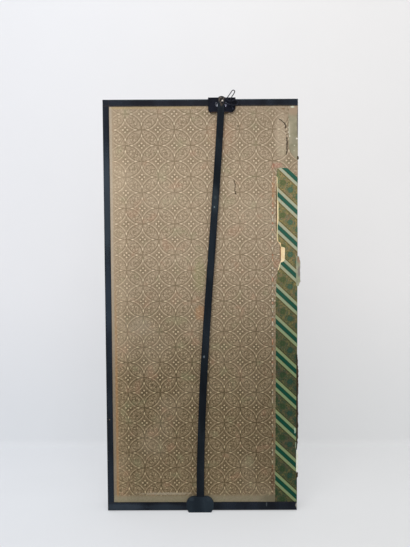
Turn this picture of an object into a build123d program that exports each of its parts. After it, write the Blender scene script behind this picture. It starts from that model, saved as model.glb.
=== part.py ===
"""Six-panel folding screen (byobu), folded flat and held shut by its lacquered clamp.

Millimetres, +Z up.  The panels stand in a stack along Y: panel 1 is at -Y with its back
outwards, panel 6 at +Y.  The origin is the middle of the stack, at floor level.
"""
import os
from math import radians, tan

from build123d import *

# ---- Panels ------------------------------------------------------------------------
panel_count = 6
panel_width = 606.0
panel_height = 1303.0
panel_thickness = 18.0
fold_gap = 0.6  # between two folded panels; each hinge axis lies in the middle of it

# ---- Lacquered frame ---------------------------------------------------------------
top_rail_height = 21.0
bottom_rail_height = 27.0
stile_width = 20.0
frame_proud = 1.5  # how far the frame stands above the papers, on both faces
frame_round = 1.2

# ---- Papers and brocade --------------------------------------------------------------
paper_thickness = 0.5
border_width = 24.0
border_thickness = 0.4
edge_brocade_width = 66.0  # bare strip beside the hinge of panel 1
edge_brocade_drop = 216.0  # from the top of panel 1 to the strip's highest point
edge_brocade_flat = 20.0  # level stretch at the strip's top
edge_brocade_slant = 41.0  # how far the top then falls towards the hinge

# ---- Core of each panel -----------------------------------------------------------
batten_width = 24.0
slat_width = 10.0
slat_columns = 5
slat_rows = 11

# ---- Paper hinges --------------------------------------------------------------------
hinge_bands = 10  # strips take turns on the two panels
hinge_band_gap = 2.0
hinge_strip_thickness = 0.25

# ---- Clamp: two halves, each a lath with a hooked head and a hooked foot -----------------
clamp_clearance = 0.3  # between the clamp and what it holds
clamp_meeting_gap = 0.6  # between the two halves, over and under the stack
head_width = 85.0
head_centre = 67.0
head_drop = 42.0  # how far the head hangs down over the top rail
head_board = 4.0
head_plate = 6.0
head_left_round = 12.0
head_right_round = 17.0
foot_width = 87.5
foot_centre = -7.2
foot_height = 51.5
foot_board = 3.0
foot_plate = 12.0
foot_shoulder_round = 25.0
foot_toe_run = 7.5
foot_toe_rise = 15.0
clamp_edge_round = 1.0

lath_width = 24.0
lath_head_width = 21.6
lath_thickness = 6.0
lath_head_above = 8.0  # above the top of the panels
lath_dome = 5.0
lath_round = 1.2
lath_foot_centre = -6.0
lath_head_centre = 66.3
lath_warp_low = 8.2  # sideways bend of the old lath, below and at its middle
lath_warp_high = 2.4  # what is left of the bend near the head
lath_warp_low_at = 0.20
lath_warp_mid_at = 0.46
lath_warp_high_at = 0.73
tenon_width = 15.0
tenon_thickness = 4.0
tenon_depth = 20.0
tenon_clearance = 0.1
tenon_end_clearance = 0.5

eyelet_spacing = 29.4
eyelet_width = 6.0
eyelet_height = 13.0
eyelet_wall = 1.3
eyelet_depth = 2.0
eyelet_proud = 0.5
eyelet_drop = 17.0  # below the top of the panels

cord_hole_radius = 2.2
cord_hole_offset = 2.3
cord_hole_drop = 10.3
cord_diameter = 3.0
cord_bend_share = 0.45
knot_radius = 3.4
knot_length = 7.0
knot_round = 1.6

# ---- Ways of working, which leave no mark on the shapes ---------------------------------
pick_reach = 0.01  # how far from a place an edge may lie to be picked there
cutter_reach = 1.0  # how far a cutter stands out beyond what it cuts

# ---- Values that follow from the sizes -------------------------------------------------
pitch = panel_thickness + fold_gap
stack_depth = panel_count * pitch - fold_gap
panel_low = foot_board + clamp_clearance
panel_top = panel_low + panel_height
inner_low = panel_low + bottom_rail_height
inner_top = panel_top - top_rail_height
half_width = panel_width / 2
back_plane = -stack_depth / 2  # outer face of panel 1
clamp_plane = back_plane - clamp_clearance  # the rear half's face against panel 1
lath_back = clamp_plane - head_plate
lath_low = foot_height
lath_top = panel_top + lath_head_above
lath_rise = lath_top - lath_low
paper_inset = frame_proud + paper_thickness
cord_mouth = (lath_head_centre + cord_hole_offset, lath_back, panel_top - cord_hole_drop)


def block(x, y, z):
    """A box between pairs of coordinates, each given in either order."""
    low = [min(pair) for pair in (x, y, z)]
    size = [abs(pair[1] - pair[0]) for pair in (x, y, z)]
    return Pos(*low) * Box(*size, align=(Align.MIN, Align.MIN, Align.MIN))


def upright(outline, y):
    """A closed outline of (x, z) points, made solid between two values of y."""
    near, far = min(y), max(y)
    plane = Plane(origin=(0, far, 0), x_dir=(1, 0, 0), z_dir=(0, -1, 0))
    face = make_face(Polyline(*outline, close=True))
    return extrude(plane * face, amount=far - near)


def panel_near(i):
    """The lower y of panel i, counted from 0."""
    return back_plane + i * pitch


def front_sign(i):
    """+1 where the panel's picture side looks towards +Y, else -1."""
    return 1 if i % 2 == 0 else -1


def hinge_sign(i):
    """+1 where the hinge between panels i and i + 1 is at +X, else -1."""
    return 1 if i % 2 == 0 else -1


def is_outer(i):
    """The first and last panels have a stile on their free edge, at -X."""
    return i in (0, panel_count - 1)


def inner_span(i):
    """The x span between a panel's stile, if it has one, and its other edge."""
    return (-half_width + (stile_width if is_outer(i) else 0.0), half_width)


def face_layer(i, side, depth, thickness):
    """The y span of a layer on one face of panel i.

    side is +1 for the picture side and -1 for the back; depth is how far the layer's
    outer surface lies below the face of the frame.
    """
    outward = front_sign(i) * side
    middle = panel_near(i) + panel_thickness / 2
    outer = middle + outward * (panel_thickness / 2 - depth)
    return (outer, outer - outward * thickness)


def mitre(z_outer, z_inner):
    """The two ends of the mitre between a rail and a stile, from the outer corner in."""
    return ((-half_width, z_outer), (-half_width + stile_width, z_inner))


def rail(i, z_outer, z_inner):
    """The top or bottom rail of panel i, rounded outside and mitred to a stile."""
    near = panel_near(i)
    y = (near, near + panel_thickness)
    body = block((-half_width, half_width), y, (z_outer, z_inner))
    outer_edges = body.edges().filter_by(Axis.X).filter_by_position(
        Axis.Z, z_outer - pick_reach, z_outer + pick_reach
    )
    body = fillet(outer_edges, frame_round)
    if is_outer(i):
        corner, inner = mitre(z_outer, z_inner)
        x_clear = -half_width - cutter_reach
        body -= upright((corner, (x_clear, z_outer), (x_clear, z_inner), inner), y)
    return body


def stile(i):
    """The upright of the lacquered frame on the free edge of panel i."""
    near = panel_near(i)
    y = (near, near + panel_thickness)
    body = block((-half_width, -half_width + stile_width), y, (panel_low, panel_top))
    outer_edges = body.edges().filter_by(Axis.Z).filter_by_position(
        Axis.X, -half_width - pick_reach, -half_width + pick_reach
    )
    body = fillet(outer_edges, frame_round)
    for z_outer, z_inner in ((panel_top, inner_top), (panel_low, inner_low)):
        body -= upright((*mitre(z_outer, z_inner), (-half_width + stile_width, z_outer)), y)
    return body


def spread(low, high, count, width):
    """Centres of bars of one width, spread evenly between two battens."""
    gap = (high - low - count * width) / (count + 1)
    return [low + gap + width / 2 + k * (gap + width) for k in range(count)]


def core_lattice(i):
    """The wooden grid inside a panel: four battens and half-lapped slats."""
    x_low, x_high = inner_span(i)
    y_low = panel_near(i) + paper_inset
    y_high = panel_near(i) + panel_thickness - paper_inset
    y = (y_low, y_high)
    y_middle = (y_low + y_high) / 2
    battens = [
        block((x_low, x_low + batten_width), y, (inner_low, inner_top)),
        block((x_high - batten_width, x_high), y, (inner_low, inner_top)),
    ]
    x_cell = (x_low + batten_width, x_high - batten_width)
    z_cell = (inner_low + batten_width, inner_top - batten_width)
    battens.append(block(x_cell, y, (inner_low, z_cell[0])))
    battens.append(block(x_cell, y, (z_cell[1], inner_top)))
    columns = spread(*x_cell, slat_columns, slat_width)
    rows = spread(*z_cell, slat_rows, slat_width)
    half = slat_width / 2
    slats = []
    for x in columns:
        slat = block((x - half, x + half), y, z_cell)
        laps = [block((x - half, x + half), (y_middle, y_high), (z - half, z + half)) for z in rows]
        slats.append(slat - laps)
    for z in rows:
        slat = block(x_cell, y, (z - half, z + half))
        laps = [block((x - half, x + half), (y_low, y_middle), (z - half, z + half)) for x in columns]
        slats.append(slat - laps)
    return battens + slats


def edge_brocade_outline():
    """The strip beside the hinge of panel 1, with its slanting top."""
    x_in = half_width - edge_brocade_width
    z_top = panel_top - edge_brocade_drop
    return (
        (x_in, inner_low),
        (half_width, inner_low),
        (half_width, z_top - edge_brocade_slant),
        (x_in + edge_brocade_flat, z_top),
        (x_in, z_top),
    )


def back_paper(i):
    """The patterned paper on a panel's back."""
    y = face_layer(i, -1, frame_proud, paper_thickness)
    sheet = block(inner_span(i), y, (inner_low, inner_top))
    if i == 0:
        sheet -= upright(edge_brocade_outline(), y)
    return sheet


def edge_brocade():
    """The brocade that shows beside the hinge of panel 1."""
    return upright(edge_brocade_outline(), face_layer(0, -1, frame_proud, paper_thickness))


def front_paper(i):
    """The plain leafed paper on a panel's picture side."""
    y = face_layer(i, 1, frame_proud, paper_thickness)
    return block(inner_span(i), y, (inner_low, inner_top))


def front_border(i):
    """The narrow brocade border round a panel's picture side."""
    y = face_layer(i, 1, frame_proud - border_thickness, border_thickness)
    x_low, x_high = inner_span(i)
    ring = block((x_low, x_high), y, (inner_low, inner_top))
    ring -= block(
        (x_low + border_width, x_high - border_width),
        y,
        (inner_low + border_width, inner_top - border_width),
    )
    return ring


def hinge_strips(i, on_next):
    """The paper strips of hinge i that lie on the edge of one of its two panels."""
    owner = i + 1 if on_next else i
    side = hinge_sign(i)
    x = (side * half_width, side * (half_width + hinge_strip_thickness))
    y = (panel_near(owner), panel_near(owner) + panel_thickness)
    band = (inner_top - inner_low) / hinge_bands
    strips = []
    for k in range(1 if on_next else 0, hinge_bands, 2):
        z = inner_low + k * band
        strips.append(block(x, y, (z + hinge_band_gap / 2, z + band - hinge_band_gap / 2)))
    return strips


def clamp_head():
    """The rear half's head: a plate over the top rail and a board over the panels."""
    z_top = panel_top + clamp_clearance + head_board
    z_low = panel_top - head_drop
    left = head_centre - head_width / 2
    right = head_centre + head_width / 2
    outline = ((left, z_low), (right, z_low), (right, z_top), (left, z_top))
    plate = upright(outline, (clamp_plane, lath_back))
    for x, radius in ((left, head_left_round), (right, head_right_round)):
        corners = plate.edges().filter_by(Axis.Y).filter_by_position(
            Axis.X, x - pick_reach, x + pick_reach
        )
        plate = fillet(corners.sort_by(Axis.Z)[0], radius)
    rim = plate.faces().sort_by(Axis.Y)[0].edges()
    plate = fillet(rim, clamp_edge_round)
    board = block(
        (left, right),
        (clamp_plane, -clamp_meeting_gap / 2),
        (panel_top + clamp_clearance, z_top),
    )
    head = plate + board
    for side in (-1, 1):
        head -= eyelet_blank(side, 0.0)
    return head


def eyelet_blank(side, inset):
    """An upright oval let into the head beside the lath."""
    z = panel_top - eyelet_drop
    x = lath_centre((z - lath_low) / lath_rise, 0.0)[0] + side * eyelet_spacing / 2
    width = eyelet_width - 2 * inset
    height = eyelet_height - 2 * inset
    plane = Plane(origin=(x, lath_back + eyelet_depth, z), x_dir=(0, 0, 1), z_dir=(0, -1, 0))
    return extrude(plane * SlotOverall(height, width), amount=eyelet_depth + eyelet_proud)


def clamp_eyelets():
    """The two oval eyelets of one head."""
    return [eyelet_blank(side, 0.0) - eyelet_blank(side, eyelet_wall) for side in (-1, 1)]


def clamp_foot():
    """The rear half's foot: a block over the bottom rail and a board under the panels."""
    left = foot_centre - foot_width / 2
    right = foot_centre + foot_width / 2
    outline = (
        (left + foot_toe_run, 0),
        (right - foot_toe_run, 0),
        (right, foot_toe_rise),
        (right, foot_height),
        (left, foot_height),
        (left, foot_toe_rise),
    )
    y_front = clamp_plane - foot_plate
    plate = upright(outline, (clamp_plane, y_front))
    shoulders = plate.edges().filter_by(Axis.Y).filter_by_position(
        Axis.Z, foot_height - pick_reach, foot_height + pick_reach
    )
    plate = fillet(shoulders, foot_shoulder_round)
    rim = plate.faces().sort_by(Axis.Y)[0].edges()
    plate = fillet(rim, clamp_edge_round)
    board = block(
        (left + foot_toe_run, right - foot_toe_run),
        (clamp_plane, -clamp_meeting_gap / 2),
        (0, foot_board),
    )
    half = tenon_width / 2 + tenon_clearance
    mortise = block(
        (lath_foot_centre - half, lath_foot_centre + half),
        (lath_back + tenon_clearance, lath_back - tenon_thickness - tenon_clearance),
        (foot_height - tenon_depth - tenon_end_clearance, foot_height),
    )
    return plate + board - mortise


def lath_centre(share, warp):
    """A point of the lath's middle line, at a share of its rise."""
    straight = lath_foot_centre + share * (lath_head_centre - lath_foot_centre)
    return (straight - warp, lath_low + share * lath_rise)


def clamp_lath():
    """The rear half's long lath, warped sideways, with a domed head and a tenon."""
    middle = [
        lath_centre(0.0, 0.0),
        lath_centre(lath_warp_low_at, lath_warp_low),
        lath_centre(lath_warp_mid_at, lath_warp_low),
        lath_centre(lath_warp_high_at, lath_warp_high),
        lath_centre(1 - lath_dome / lath_rise, 0.0),
    ]
    halves = [
        (lath_width + (lath_head_width - lath_width) * (z - lath_low) / lath_rise) / 2
        for _, z in middle
    ]
    left = [(x - h, z) for (x, z), h in zip(middle, halves)]
    right = [(x + h, z) for (x, z), h in zip(middle, halves)]
    with BuildSketch(Plane(origin=(0, lath_back, 0), x_dir=(1, 0, 0), z_dir=(0, -1, 0))) as outline:
        with BuildLine():
            Spline(*left)
            ThreePointArc(left[-1], (lath_head_centre, lath_top), right[-1])
            Spline(*right)
            Line(left[0], right[0])
        make_face()
    lath = extrude(outline.sketch, amount=lath_thickness)
    rim = lath.faces().sort_by(Axis.Y)[0].edges().filter_by(
        lambda edge: edge.center().Z > lath_low + pick_reach
    )
    lath = fillet(rim, lath_round)
    lath += block(
        (lath_foot_centre - tenon_width / 2, lath_foot_centre + tenon_width / 2),
        (lath_back, lath_back - tenon_thickness),
        (lath_low - tenon_depth, lath_low),
    )
    drill = Cylinder(cord_hole_radius, 2 * (lath_thickness + cutter_reach))
    return lath - Pos(*cord_mouth) * Rot(90, 0, 0) * drill


# The cord's route: out of the hole in the lath, round the end of the head in a loose loop,
# up into a standing loop, and down to a short tail.  The points are (x, y, z) from the
# mouth of the hole at the lath's back.
cord_route = [
    (0.0, 0.0, 0.0),
    (0.0, -9.2, 0.0),
    (5.0, -14.6, -2.6),
    (14.5, -14.8, -6.4),
    (25.5, -10.8, -9.6),
    (37.0, -7.0, -10.6),
    (46.4, -5.4, -8.2),
    (50.2, -5.0, -1.4),
    (45.4, -6.0, 5.2),
    (35.4, -8.6, 5.4),
    (27.0, -11.0, 1.6),
    (17.2, -11.8, 1.6),
    (13.4, -10.4, 9.0),
    (19.0, -8.0, 17.8),
    (25.4, -6.6, 26.4),
    (31.5, -6.3, 35.7),
    (36.7, -6.2, 35.4),
    (39.0, -6.0, 30.8),
    (34.0, -5.6, 22.4),
    (27.4, -4.9, 13.0),
    (25.6, -4.5, 4.0),
    (27.2, -4.4, -5.6),
    (29.4, -4.2, -12.6),
    (31.4, -4.2, -19.0),
]


def cord_points():
    """The cord's route in the part's frame."""
    return [Vector(*cord_mouth) + Vector(*point) for point in cord_route]


def cord_radii(points):
    """The radius of the bend at each inner point, as large as its two runs allow."""
    radii = []
    for before, here, after in zip(points, points[1:], points[2:]):
        run_in = here - before
        run_out = after - here
        turn = radians(run_in.get_angle(run_out))
        shorter = min(run_in.length, run_out.length)
        radii.append(cord_bend_share * shorter / tan(turn / 2))
    return radii


def clamp_cord():
    """The cord that ties the clamp, as it is looped over the rear head."""
    points = cord_points()
    radii = cord_radii(points)
    path = FilletPolyline(*points, radius=radii)
    section = Plane(origin=path @ 0, z_dir=path % 0) * Circle(cord_diameter / 2)
    tube = sweep(section, path=path)
    full = section.area * path.length
    print("cord radii", [round(radius, 1) for radius in radii])
    print("cord length", round(path.length, 1), "volume share", round(tube.volume / full, 4))
    return tube


def clamp_cord_knot():
    """The knot at the end of the cord's tail."""
    points = cord_points()
    along = (points[-1] - points[-2]).normalized()
    plane = Plane(origin=points[-1], z_dir=along)
    knot = extrude(plane * Circle(knot_radius), amount=knot_length)
    return fillet(knot.edges().filter_by(GeomType.CIRCLE), knot_round)


def save(name, shapes):
    """Writes one node: a single solid, or a group of separate ones."""
    solids = []
    for shape in shapes if isinstance(shapes, list) else [shapes]:
        solids.extend(shape.solids())
    node = solids[0] if len(solids) == 1 else Compound(children=solids)
    export_step(node, f"parts/{name}.step")


def main():
    """Makes and writes every node."""
    os.makedirs("parts", exist_ok=True)
    for i in range(panel_count):
        name = f"panel_{i + 1}"
        save(f"{name}_core_lattice", core_lattice(i))
        save(f"{name}_front_paper", front_paper(i))
        save(f"{name}_front_border", front_border(i))
        save(f"{name}_back_paper", back_paper(i))
        save(f"{name}_top_rail", rail(i, panel_top, inner_top))
        save(f"{name}_bottom_rail", rail(i, panel_low, inner_low))
        if is_outer(i):
            save(f"{name}_stile", stile(i))
    save("panel_1_edge_brocade", edge_brocade())
    for i in range(panel_count - 1):
        for on_next in (False, True):
            owner = i + 2 if on_next else i + 1
            save(f"hinge_{i + 1}_{i + 2}_strips_on_{owner}", hinge_strips(i, on_next))
    halves = {
        "head": clamp_head(),
        "foot": clamp_foot(),
        "lath": clamp_lath(),
        "eyelets": clamp_eyelets(),
    }
    for name, shapes in halves.items():
        rear = shapes if isinstance(shapes, list) else [shapes]
        save(f"rear_clamp_{name}", rear)
        save(f"front_clamp_{name}", [mirror(shape, about=Plane.XZ) for shape in rear])
    save("clamp_cord", clamp_cord())
    save("clamp_cord_knot", clamp_cord_knot())


main()
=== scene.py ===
"""Looks of a folded six-panel screen: lacquer, patterned papers, brocade, cord and a studio."""
import logging
import math
from dataclasses import dataclass
from enum import Enum
from typing import Callable, Iterable, Mapping, Sequence, Union

import bpy
from mathutils import Matrix, Vector, noise


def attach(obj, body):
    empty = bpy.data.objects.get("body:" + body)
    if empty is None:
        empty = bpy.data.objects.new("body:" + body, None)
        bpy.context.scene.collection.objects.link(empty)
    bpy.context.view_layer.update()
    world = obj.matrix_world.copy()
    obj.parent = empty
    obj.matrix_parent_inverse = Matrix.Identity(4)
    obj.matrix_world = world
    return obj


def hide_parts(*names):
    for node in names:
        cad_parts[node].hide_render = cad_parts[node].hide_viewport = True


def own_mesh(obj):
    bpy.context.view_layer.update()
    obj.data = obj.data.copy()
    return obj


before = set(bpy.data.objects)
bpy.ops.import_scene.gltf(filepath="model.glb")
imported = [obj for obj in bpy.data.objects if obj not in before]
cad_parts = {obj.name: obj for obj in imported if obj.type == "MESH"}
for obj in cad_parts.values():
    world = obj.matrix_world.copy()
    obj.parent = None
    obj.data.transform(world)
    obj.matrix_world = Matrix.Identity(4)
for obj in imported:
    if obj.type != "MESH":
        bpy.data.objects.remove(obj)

LOG = logging.getLogger("screen")
MM = 0.001
PANELS = 6
SMOOTH_ANGLE = math.radians(40)

Number = Union[float, "Value"]
Colour = Union[str, bpy.types.NodeSocket]
Inputs = Mapping[Union[int, str], object]
Pair = tuple[float, float]
Stops = tuple[tuple[float, str], ...]


class Slot(Enum):
    """Names of the material slots of the patterned paper, the edge brocade, the hinge paper and the
    cord.
    """

    PAPER = "patterned_paper"
    BROCADE = "edge_brocade"
    HINGE_PAPER = "hinge_paper"
    CORD = "clamp_cord"


# ---- Shader expressions ----


def pigment(code: str) -> tuple[float, float, float, float]:
    """Turns a colour code into linear light.

    Args:
        code: six hexadecimal digits, as a painter's chart gives them.

    Returns:
        Red, green, blue and alpha.
    """
    channels = [int(code[k : k + 2], 16) / 255 for k in (0, 2, 4)]
    linear = [c / 12.92 if c <= 0.04045 else ((c + 0.055) / 1.055) ** 2.4 for c in channels]
    return (*linear, 1.0)


class Value:
    """A number that varies over a surface: one output of a shader node."""

    def __init__(self, recipe: "Recipe", socket: bpy.types.NodeSocket) -> None:
        """Wraps an output socket of a recipe's node tree."""
        self.recipe = recipe
        self.socket = socket

    def __add__(self, other: Number) -> "Value":
        """This value plus another."""
        return self.recipe.maths("ADD", self, other)

    def __radd__(self, other: Number) -> "Value":
        """Another plus this value."""
        return self.recipe.maths("ADD", other, self)

    def __sub__(self, other: Number) -> "Value":
        """This value less another."""
        return self.recipe.maths("SUBTRACT", self, other)

    def __rsub__(self, other: Number) -> "Value":
        """Another less this value."""
        return self.recipe.maths("SUBTRACT", other, self)

    def __mul__(self, other: Number) -> "Value":
        """This value times another."""
        return self.recipe.maths("MULTIPLY", self, other)

    def __truediv__(self, other: Number) -> "Value":
        """This value divided by another."""
        return self.recipe.maths("DIVIDE", self, other)

    def __abs__(self) -> "Value":
        """This value without its sign."""
        return self.recipe.maths("ABSOLUTE", self)

    def squared(self) -> "Value":
        """This value times itself."""
        return self * self

    def root(self) -> "Value":
        """The square root."""
        return self.recipe.maths("SQRT", self)

    def nearest(self) -> "Value":
        """The nearest whole number."""
        return self.recipe.maths("ROUND", self)

    def sine(self) -> "Value":
        """The sine of this angle in radians."""
        return self.recipe.maths("SINE", self)

    def least(self, other: Number) -> "Value":
        """The smaller of the two."""
        return self.recipe.maths("MINIMUM", self, other)

    def most(self, other: Number) -> "Value":
        """The larger of the two."""
        return self.recipe.maths("MAXIMUM", self, other)

    def angle(self, other: "Value") -> "Value":
        """The angle of the point whose height is this value and whose run is the other."""
        return self.recipe.maths("ARCTAN2", self, other)

    def fade(self, start: float, end: float) -> "Value":
        """A soft step from 0 at start to 1 at end, where end may be the smaller one."""
        return self.recipe.ranged(self, start, end, "SMOOTHSTEP")

    def share(self, start: float, end: float) -> "Value":
        """How far this value has come from start to end, from 0 to 1."""
        return self.recipe.ranged(self, start, end, "LINEAR")

    def line(self, centre: float, half: float, soft: float) -> "Value":
        """1 within half a width of the centre and 0 away from it, with a soft edge."""
        return abs(self - centre).fade(half + soft, half - soft)


class Recipe:
    """The nodes of one material."""

    def __init__(self, name: str) -> None:
        """Starts an empty material. Its place is the point on the surface in millimetres.

        Args:
            name: the material's name.
        """
        self.material = bpy.data.materials.new(name)
        self.material.use_nodes = True
        self.tree = self.material.node_tree
        self.tree.nodes.clear()
        coordinates = self.node("ShaderNodeTexCoord", {}, {})
        self.point = coordinates.outputs["Object"]
        self.facing = coordinates.outputs["Normal"]
        self.place = tuple(part * 1000.0 for part in self.parts(self.point))

    def node(self, kind: str, settings: Mapping[str, object], inputs: Inputs) -> bpy.types.Node:
        """Adds one node.

        Args:
            kind: the node's type.
            settings: its own settings; stops gives a colour ramp's places and colours.
            inputs: the value, the link or the colour code of each socket.

        Returns:
            The node.
        """
        made = self.tree.nodes.new(kind)
        for key, value in settings.items():
            if key == "stops":
                self.set_stops(made, value)
            else:
                setattr(made, key, value)
        for key, value in inputs.items():
            if isinstance(value, Value):
                self.tree.links.new(value.socket, made.inputs[key])
            elif isinstance(value, bpy.types.NodeSocket):
                self.tree.links.new(value, made.inputs[key])
            else:
                made.inputs[key].default_value = pigment(value) if isinstance(value, str) else value
        return made

    @staticmethod
    def set_stops(node: bpy.types.Node, stops: Stops) -> None:
        """Gives a colour ramp its stops.

        Args:
            node: the ramp.
            stops: the place and colour code of each stop, in order.
        """
        elements = node.color_ramp.elements
        while len(elements) < len(stops):
            elements.new(1.0)
        for element, (place, code) in zip(elements, stops):
            element.position = place
            element.color = pigment(code)

    def maths(self, operation: str, *terms: Number) -> Value:
        """Works out one operation on its terms."""
        node = self.node("ShaderNodeMath", {"operation": operation}, dict(enumerate(terms)))
        return Value(self, node.outputs[0])

    def ranged(self, value: Value, start: float, end: float, kind: str) -> Value:
        """Maps a range to 0 to 1.

        Args:
            value: the value to map.
            start: the value that gives 0.
            end: the value that gives 1.
            kind: the curve between them.

        Returns:
            The mapped value.
        """
        settings = {"interpolation_type": kind, "clamp": True}
        node = self.node("ShaderNodeMapRange", settings, {0: value, 1: start, 2: end})
        return Value(self, node.outputs[0])

    def parts(self, vector: bpy.types.NodeSocket) -> tuple[Value, Value, Value]:
        """The three numbers of a vector or colour."""
        node = self.node("ShaderNodeSeparateXYZ", {}, {0: vector})
        return tuple(Value(self, socket) for socket in node.outputs)

    def stretched(self, stretch: Sequence[float], turn: float) -> bpy.types.NodeSocket:
        """The point on the surface, stretched and turned.

        Args:
            stretch: how many times closer the texture lies along each axis.
            turn: the turn about Y, in degrees.

        Returns:
            The new point.
        """
        inputs = {
            "Vector": self.point,
            "Rotation": (0.0, math.radians(turn), 0.0),
            "Scale": tuple(stretch),
        }
        return self.node("ShaderNodeMapping", {}, inputs).outputs[0]

    def cloud(
        self,
        size: float,
        detail: float = 2.0,
        stretch: Sequence[float] = (1.0, 1.0, 1.0),
        turn: float = 0.0,
    ) -> Value:
        """Soft noise.

        Args:
            size: the size of its patches in millimetres.
            detail: how many finer layers it has.
            stretch: how many times closer it lies along each axis.
            turn: the turn about Y, in degrees.

        Returns:
            A value from 0 to 1.
        """
        inputs = {
            "Vector": self.stretched(stretch, turn),
            "Scale": 1 / (size * MM),
            "Detail": detail,
        }
        return Value(self, self.node("ShaderNodeTexNoise", {}, inputs).outputs[0])

    def grains(self, size: float, stretch: Sequence[float] = (1.0, 1.0, 1.0)) -> tuple[Value, Value]:
        """Scattered grains.

        Args:
            size: the distance between them in millimetres.
            stretch: how many times closer they lie along each axis.

        Returns:
            The distance from a grain's middle, and the grain's own random number.
        """
        inputs = {"Vector": self.stretched(stretch, 0.0), "Scale": 1 / (size * MM)}
        node = self.node("ShaderNodeTexVoronoi", {}, inputs)
        chance, _, _ = self.parts(node.outputs["Color"])
        return (Value(self, node.outputs["Distance"]), chance)

    def tint(self, amount: Number, first: Colour, second: Colour) -> bpy.types.NodeSocket:
        """Mixes two colours by an amount from 0 to 1."""
        node = self.node("ShaderNodeMix", {"data_type": "RGBA"}, {0: amount, 6: first, 7: second})
        return node.outputs[2]

    def coat(self, colour: Colour, *coats: tuple[Number, Colour]) -> Colour:
        """Lays coats over a colour, one after another.

        Args:
            colour: the colour under them.
            coats: the amount, from 0 to 1, and the colour of each coat.

        Returns:
            The colour with its coats.
        """
        for amount, over in coats:
            colour = self.tint(amount, colour, over)
        return colour

    def dim(self, colour: Colour, level: Value) -> bpy.types.NodeSocket:
        """Darkens or lightens a colour by a level."""
        node = self.node("ShaderNodeVectorMath", {"operation": "SCALE"}, {0: colour, "Scale": level})
        return node.outputs[0]

    def ramp(self, value: Value, stops: Stops) -> bpy.types.NodeSocket:
        """The colour that a value has on a ramp."""
        return self.node("ShaderNodeValToRGB", {"stops": stops}, {0: value}).outputs[0]

    def relief(self, height: Value, depth: float) -> bpy.types.NodeSocket:
        """The normal of a bumpy surface, whose height of 1 stands for depth millimetres."""
        inputs = {"Height": height, "Distance": depth * MM, "Strength": 1.0}
        return self.node("ShaderNodeBump", {}, inputs).outputs[0]

    def edges(self) -> Value:
        """1 on rounded edges, where the surface looks neither straight on nor sideways."""
        x, y, z = (abs(part) for part in self.parts(self.facing))
        return (x * y + y * z + x * z).fade(0.12, 0.42)

    def finish(
        self,
        colour: Colour,
        rough: Number,
        normal: bpy.types.NodeSocket,
        specular: float = 0.5,
        metallic: Number = 0.0,
        sheen: float = 0.0,
    ) -> bpy.types.Material:
        """Closes the recipe with its shader.

        Args:
            colour: the surface's colour.
            rough: its roughness.
            normal: its relief.
            specular: how strongly it mirrors, where 0.5 is plain glass.
            metallic: how far it is bare metal.
            sheen: the soft shine of loose fibres.

        Returns:
            The material.
        """
        inputs = {
            "Base Color": colour,
            "Roughness": rough,
            "Normal": normal,
            "Specular IOR Level": specular,
            "Metallic": metallic,
            "Sheen Weight": sheen,
        }
        shader = self.node("ShaderNodeBsdfPrincipled", {}, inputs)
        self.node("ShaderNodeOutputMaterial", {}, {"Surface": shader.outputs[0]})
        return self.material


# ---- Marks of wear, and painted light ----


@dataclass(frozen=True)
class Mark:
    """A rubbed, stained or scuffed place on a face, or a painted highlight, glint or shadow, in
    millimetres.
    """

    x: float
    z: float
    across: float
    up: float
    colour: str
    strength: float
    broken: float = 0.5

    def mask(self, x: Value, z: Value, grain: Value) -> Value:
        """Where the mark shows.

        Args:
            x: the place across the face.
            z: the height.
            grain: noise from 0 to 1 that breaks the mark up.

        Returns:
            A value from 0 to the mark's strength.
        """
        reach = (((x - self.x) / self.across).squared() + ((z - self.z) / self.up).squared()).root()
        worn = reach + (grain - 0.5) * (2 * self.broken)
        return worn.fade(1.1, 0.6) * self.strength


@dataclass(frozen=True)
class Crack:
    """A split in a paper, given by its points from the lowest up, in millimetres."""

    points: tuple[Pair, ...]
    half_width: float
    gaps: float = 0.0

    def mask(self, x: Value, z: Value, grain: Value) -> Value:
        """Where the split shows.

        Args:
            x: the place across the face.
            z: the height.
            grain: noise from 0 to 1 that roughens it.

        Returns:
            A value from 0 to 1.
        """
        middle: Number = self.points[0][0]
        for (x0, z0), (x1, z1) in zip(self.points, self.points[1:]):
            middle = z.share(z0, z1) * (x1 - x0) + middle
        low = self.points[0][1]
        high = self.points[-1][1]
        ends = z.fade(low - 2, low + 2) * z.fade(high + 2, high - 2)
        off = abs(x - middle) + (grain - 0.5) * (2.6 * self.half_width)
        open_part = grain.fade(self.gaps - 0.05, self.gaps + 0.05)
        return off.fade(self.half_width * 1.3, self.half_width * 0.5) * ends * open_part


def with_marks(recipe: Recipe, colour: Colour, marks: Sequence[Mark], grain: Value) -> Colour:
    """Lays worn places, painted highlights and painted shadows over a colour.

    Args:
        recipe: the material that is being built.
        colour: the colour under them.
        marks: the places.
        grain: noise from 0 to 1 that breaks them up.

    Returns:
        The colour with its marks.
    """
    x, _, z = recipe.place
    for mark in marks:
        colour = recipe.tint(mark.mask(x, z, grain), colour, mark.colour)
    return colour


# ---- Finishes ----


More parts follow.
